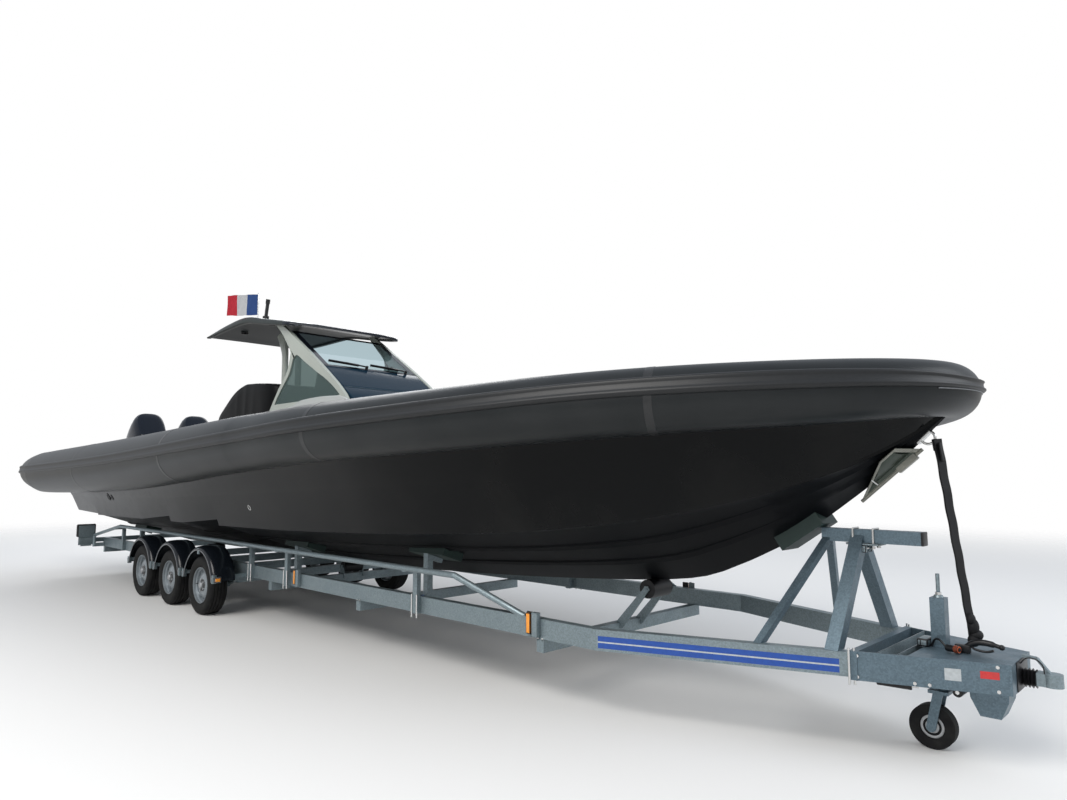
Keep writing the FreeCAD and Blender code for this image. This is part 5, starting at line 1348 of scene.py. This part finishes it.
def build_drawbar_fittings():
    builder = Builder("black")
    # Cap and collar on the post, then the plates of the open bay behind it
    builder.rod((5.830, 0, 0.7655), (5.830, 0, 0.777), 0.026, "galvanised", 20, end=0.020)
    builder.rod((5.830, 0, 0.777), (5.830, 0, 0.792), 0.015, "steel", 6)
    builder.rod((5.830, 0, 0.800), (5.830, 0, 0.886), 0.0098, "galvanised", 16)
    for x in (5.640, 5.726):
        y = rail_face(x) - 0.012
        builder.box((x - 0.003, -y, 0.392), (x + 0.003, y, 0.5145), "galvanised", 0.001)
    builder.box((5.735, -0.075, 0.5165), (5.790, 0.040, 0.556), "galvanised", 0.008)
    builder.box((5.752, -0.0765, 0.520), (5.757, -0.073, 0.552), "black", 0.001)
    # Flange behind the bellows, and the bracket and damper beside the jockey wheel
    builder.box((6.1825, -0.110, 0.376), (6.1865, 0.110, 0.513), "black", 0.002)
    builder.box((5.900, -0.120, 0.330), (5.960, -0.104, 0.3725), "galvanised", 0.003)
    builder.rod((5.936, -0.150, 0.336), (5.936, 0.020, 0.336), 0.024, "black", 24, bevel=0.004)
    builder.rod((5.936, -0.153, 0.336), (5.936, -0.150, 0.336), 0.010, "steel", 6)
    builder.rod((5.585, -0.235, 0.345), (5.745, -0.205, 0.342), 0.021, "black", 20, bevel=0.004)
    builder.rod((5.745, -0.205, 0.342), (5.775, -0.199, 0.342), 0.008, "steel", 10)
    # Bolt heads along the side plates
    for side in (-1, 1):
        for x, z in ((5.560, 0.495), (5.560, 0.392), (6.130, 0.500), (6.130, 0.388), (5.800, 0.388),
                     (5.860, 0.388)):
            y = side * (rail_face(x) + 0.0045)
            builder.rod((x, y, z), (x, y + side * 0.007, z), 0.009, "steel", 6)
    builder.finish("drawbar_fittings", "root", slot="galvanised_steel")


def build_handbrake_look():
    builder = Builder()
    builder.box((5.915, -0.084, 0.516), (5.985, -0.056, 0.556), "black", 0.005)
    path = curve([(x, -0.070, z) for x, z in ((5.945, 0.528), (5.975, 0.556), (6.012, 0.574), (6.060, 0.577),
                                              (6.120, 0.566))], 6)
    # Radius of the grip, from the pivot to its end
    radii = (0.011, 0.012, 0.014, 0.0145, 0.015, 0.0145, 0.010)
    rows = sweep(path, lambda t: radii[min(6, int(t * 6.999))], 18)
    builder.surface(rows, "black", closed=True, caps=True)
    builder.ball((6.120, -0.070, 0.566), 0.0135, "black")
    guard = curve([(x, -0.070, z) for x, z in (
        (5.985, 0.556), (6.005, 0.540), (6.050, 0.535), (6.085, 0.545))], 5)
    builder.pipe(guard, 0.006, "black", 10)
    builder.finish("handbrake_look", "root", slot="black_plastic", stands_for=["handbrake_lever"], angle=40)


def build_leads():
    # Two cables: the lamp lead to its plug and the breakaway cable at the coupling.
    plug = Builder()
    plug.rod((5.885, -0.105, 0.536), (5.925, -0.118, 0.537), 0.017, "black", 20, bevel=0.003)
    plug.rod((5.925, -0.118, 0.537), (5.948, -0.1255, 0.5375), 0.0185, "orange", 20, bevel=0.002)
    plug.rod((5.948, -0.1255, 0.5375), (5.951, -0.1265, 0.5375), 0.010, "black", 16)
    plug = plug.finish("lamp_plug", "root", slot="black_plastic")
    lamp_lead = ((5.800, -0.045, 0.522), (5.822, -0.070, 0.560), (5.850, -0.090, 0.566),
                 (5.885, -0.105, 0.537))
    breakaway = ((6.188, -0.040, 0.500), (6.212, -0.052, 0.528), (6.246, -0.052, 0.532),
                 (6.276, -0.046, 0.508), (6.282, -0.040, 0.466))
    for name, points, radius, far_end, carried in (("lamp_lead", lamp_lead, 0.0055, "plug", [plug]),
                                                   ("breakaway_cable", breakaway, 0.003, "object", [])):
        path = curve(points, 12)
        builder = Builder()
        builder.pipe(path, radius, "black", 12)
        obj = builder.finish(name, "root", slot="black_plastic", angle=60)
        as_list(carried)


def build_rail_bolts():
    builder = Builder()
    for side in (-1, 1):
        for axle_x in AXLES_X:
            for x in (axle_x - 0.110, axle_x + 0.110):
                builder.rod((x, side * 0.8815, 0.405), (x, side * 0.890, 0.405), 0.011, "steel", 6)
        for x in (-4.790, -3.130, 1.770, 3.810):
            for dx in (-0.018, 0.018):
                y = side * rail_face(x + dx)
                builder.rod((x + dx, y - side * 0.0005, 0.386), (x + dx, y + side * 0.008, 0.386), 0.009,
                            "steel", 6)
    builder.finish("rail_bolts", "root", slot="galvanised_steel")


def build_jockey_hub():
    builder = Builder()
    profile = ((0.0235, 0.0585), (0.0250, 0.0560), (0.0250, 0.0480), (0.0238, 0.0440), (0.0238, 0.0330),
               (0.0262, 0.0300), (0.0275, 0.0180), (0.0275, 0.0))
    for side in (-1, 1):
        builder.lathe(profile, (5.775, 0, 0.110), (0, side, 0), "cap", 40)
    builder.finish("jockey_hub_look", "jockey_roller", slot="galvanised_steel", angle=40)


# Deck panels, hatches and the dash
def slab(builder, outline, low, high, key):
    rows = [[(x, y, low) for x, y in outline], [(x, y, high) for x, y in outline]]
    builder.surface(rows, key, closed=True, caps=True)


def build_deck_details():
    builder = Builder()
    slab(builder, [(-3.540, -0.880), (-2.320, -0.880), (-2.320, 0.880), (-3.540, 0.880)], 1.1995, 1.2025,
         "nonslip")
    for side in (-1, 1):
        for outline in ([(-2.180, 0.650), (1.120, 0.650), (1.120, 0.930), (-2.180, 0.930)],
                        [(1.200, 0.615), (2.215, 0.615), (2.930, 0.440), (3.180, 0.440), (3.180, 0.640),
                         (1.900, 0.925), (1.200, 0.925)],
                        [(-4.660, 0.420), (-3.720, 0.420), (-3.720, 0.700), (-4.660, 0.700)]):
            low = 1.2895 if outline[0][0] < -4 else 1.1995
            slab(builder, [(x, side * y) for x, y in outline], low, low + 0.003, "nonslip")
        rows = []
        for i in range(21):
            x = lerp(3.440, 5.360, i / 20)
            edge = max(tube_y_at(x) - 0.7 * tube_r_at(x), 0.1) - 0.110
            z = tube_z_at(x) + 0.0295
            rows.append([(x, side * 0.030, z - 0.001), (x, side * 0.033, z), (x, side * (edge - 0.003), z),
                         (x, side * edge, z - 0.001)])
        builder.surface(rows, "nonslip")
    # Lids: x, half length, half breadth, height of the deck
    for x, half_x, half_y, z in ((4.620, 0.240, 0.220, None), (-4.200, 0.260, 0.300, 1.290)):
        a, b = x - half_x, x + half_x
        za, zb = (tube_z_at(a) + 0.028, tube_z_at(b) + 0.028) if z is None else (z, z)
        for grow, low, high, key in ((0.012, 0.0005, 0.0045, "black"), (0.0, 0.002, 0.013, "white")):
            builder.bar((a - grow, 0, za + (low + high) / 2), (b + grow, 0, zb + (low + high) / 2),
                        2 * (half_y + grow), high - low, (0, 1, 0), key, 0.003)
        for y in (-0.6, 0.6):
            builder.box((a - 0.030, y * half_y - 0.030, za + 0.004),
                        (a + 0.022, y * half_y + 0.030, za + 0.018), "steel", 0.003)
        builder.rod((b - 0.060, 0, zb + 0.010), (b - 0.060, 0, zb + 0.0165), 0.030, "steel", 24, bevel=0.002)
    builder.finish("deck_details", "root", slot="white_gelcoat")


def build_dash():
    builder = Builder("screen")
    rake = math.radians(25)
    up = Vector((math.sin(rake), 0, math.cos(rake)))
    out = Vector((-math.cos(rake), 0, math.sin(rake)))
    foot = Vector((0.3065, 0, 2.1277))

    def spot(rise, y, proud):
        return foot + up * rise + Vector((0, y, 0)) + out * proud

    for y0, y1 in ((0.085, 0.300), (0.320, 0.500)):
        builder.bar(spot(0.010, y0, 0.006), spot(0.010, y1, 0.006), 0.170, 0.016, up, "black", 0.006)
        builder.bar(spot(0.010, y0 + 0.012, 0.0145), spot(0.010, y1 - 0.012, 0.0145), 0.146, 0.002, up,
                    "screen", 0.0005)
    for k in range(6):
        y = 0.110 + 0.072 * k
        builder.rod(spot(-0.108, y, 0.0), spot(-0.108, y, 0.012), 0.011, "black", 16, bevel=0.002)
        builder.rod(spot(-0.108, y, 0.012), spot(-0.108, y, 0.014), 0.006, "cap", 12)
    builder.bar(spot(-0.060, 0.000, 0.020), spot(-0.060, 0.055, 0.020), 0.110, 0.040, up, "black", 0.008)
    for y in (0.018, 0.036):
        builder.rod(spot(-0.060, y, 0.035), spot(-0.020, y, 0.105), 0.005, "steel", 10)
        builder.ball(spot(-0.020, y, 0.108), 0.011, "black", (1, 0.8, 1))
    builder.rod(spot(0.118, 0.290, 0.0), spot(0.118, 0.290, 0.020), 0.032, "black", 24, bevel=0.004)
    builder.finish("dash_look", "root", slot="black_plastic")


# Camera, light and stage
CAMERA_PLACE = (7.07, -4.293, 1.4005)
CAMERA_PITCH = math.radians(5.744)
CAMERA_HEADING = math.radians(45.735)
CAMERA_LENS = 24.99
CAMERA_SENSOR = 36.0
SKY_STRENGTH = 0.78
# Brightness of the surroundings from straight down, through the horizon at 0.5, to straight up
SKY = ((0.0, (0.62, 0.61, 0.59)), (0.49, (0.76, 0.75, 0.73)), (0.52, (0.92, 0.93, 0.95)),
       (0.70, (0.80, 0.85, 0.92)), (1.0, (0.74, 0.80, 0.90)))
FLOOR_HALF = 20
FLOOR_FADE = (8.0, 19.0)


def aim(obj, place, look):
    obj.location = place
    obj.rotation_euler = look.to_track_quat("-Z", "Y").to_euler()


def place_camera():
    camera = bpy.data.cameras.new("camera")
    camera.lens = CAMERA_LENS
    camera.sensor_width = CAMERA_SENSOR
    camera.clip_end = 200
    obj = add_object("camera", camera)
    flat = math.cos(CAMERA_PITCH)
    aim(obj, CAMERA_PLACE, Vector((-math.cos(CAMERA_HEADING) * flat, math.sin(CAMERA_HEADING) * flat,
                                   math.sin(CAMERA_PITCH))))
    bpy.context.scene.camera = obj


def area_light(name, place, target, size, power, color):
    light = bpy.data.lights.new(name, "AREA")
    light.shape = "RECTANGLE"
    light.size, light.size_y = size
    light.energy = power
    light.color = color
    aim(add_object(name, light), place, Vector(target) - Vector(place))


def build_world():
    world = bpy.data.worlds.new("studio")
    bpy.context.scene.world = world
    world.use_nodes = True
    tree = world.node_tree
    tree.nodes.clear()
    coords = add_node(tree, "TexCoord")
    split = add_node(tree, "SeparateXYZ", None, {"Vector": coords.outputs["Generated"]})
    scale = add_node(tree, "Math", {1: 0.5, 2: 0.5}, {0: split.outputs["Z"]}, operation="MULTIPLY_ADD")
    ramp = add_node(tree, "ValToRGB", None, {"Fac": scale.outputs[0]})
    elements = ramp.color_ramp.elements
    while len(elements) < len(SKY):
        elements.new(0.5)
    for element, (position, color) in zip(elements, SKY):
        element.position = position
        element.color = (*color, 1)
    light = add_node(tree, "Background", {"Strength": SKY_STRENGTH}, {"Color": ramp.outputs["Color"]})
    white = add_node(tree, "Background", {"Color": (1, 1, 1, 1), "Strength": 1.0})
    path = add_node(tree, "LightPath")
    mix = add_node(tree, "MixShader", None,
                   {"Fac": path.outputs["Is Camera Ray"], 1: light.outputs["Background"],
                    2: white.outputs["Background"]})
    add_node(tree, "OutputWorld", None, {"Surface": mix.outputs["Shader"]})


def build_stage():
    # A pale round floor that fades into the white around it.
    material, tree, shader = new_material("floor_pale", (0.80, 0.79, 0.77), 0.75, spec=0.2)
    coords = add_node(tree, "TexCoord")
    length = add_node(tree, "VectorMath", None, {0: coords.outputs["Object"]}, operation="LENGTH")
    fade = add_node(tree, "MapRange", {"From Min": FLOOR_FADE[0], "From Max": FLOOR_FADE[1]},
                    {"Value": length.outputs["Value"]}, interpolation_type="SMOOTHSTEP")
    clear = add_node(tree, "BsdfTransparent")
    mix = add_node(tree, "MixShader", None,
                   {"Fac": fade.outputs["Result"], 1: shader.outputs["BSDF"], 2: clear.outputs["BSDF"]})
    set_surface(tree, mix)
    verts, faces = grid([[(x, -FLOOR_HALF, 0), (x, FLOOR_HALF, 0)] for x in (-FLOOR_HALF, FLOOR_HALF)])
    mesh = bpy.data.meshes.new("floor")
    mesh.from_pydata([tuple(v) for v in verts], [], faces)
    mesh.materials.append(material)
    floor = add_object("floor", mesh)
    area_light("key", (4.0, -9.0, 9.0), (0, 0, 0.8), (7, 7), 1050, (1.0, 0.97, 0.93))
    area_light("fill", (12.0, 3.0, 6.0), (2, 0, 1), (6, 6), 380, (0.93, 0.96, 1.0))
    area_light("back", (-10.0, 6.0, 8.0), (-1, 0, 1), (8, 6), 520, (1, 1, 1))


for build in (
    build_hull, build_collar, build_strake, build_wheels, build_guards, build_side_frames, build_hardtop,
    build_windscreen, build_coaming, build_cover, build_flag, build_sunpad, build_engines, build_strap,
    build_lamps, build_trailer_fittings, build_coupling_look, build_anchor_look, build_hull_outlets,
    build_nose_line, build_stand_fittings, build_drawbar_fittings, build_handbrake_look, build_leads,
    build_rail_bolts, build_jockey_hub, build_deck_details, build_dash, place_camera, build_world,
    build_stage,
):
    build()
bpy.context.scene.view_settings.view_transform = "Standard"
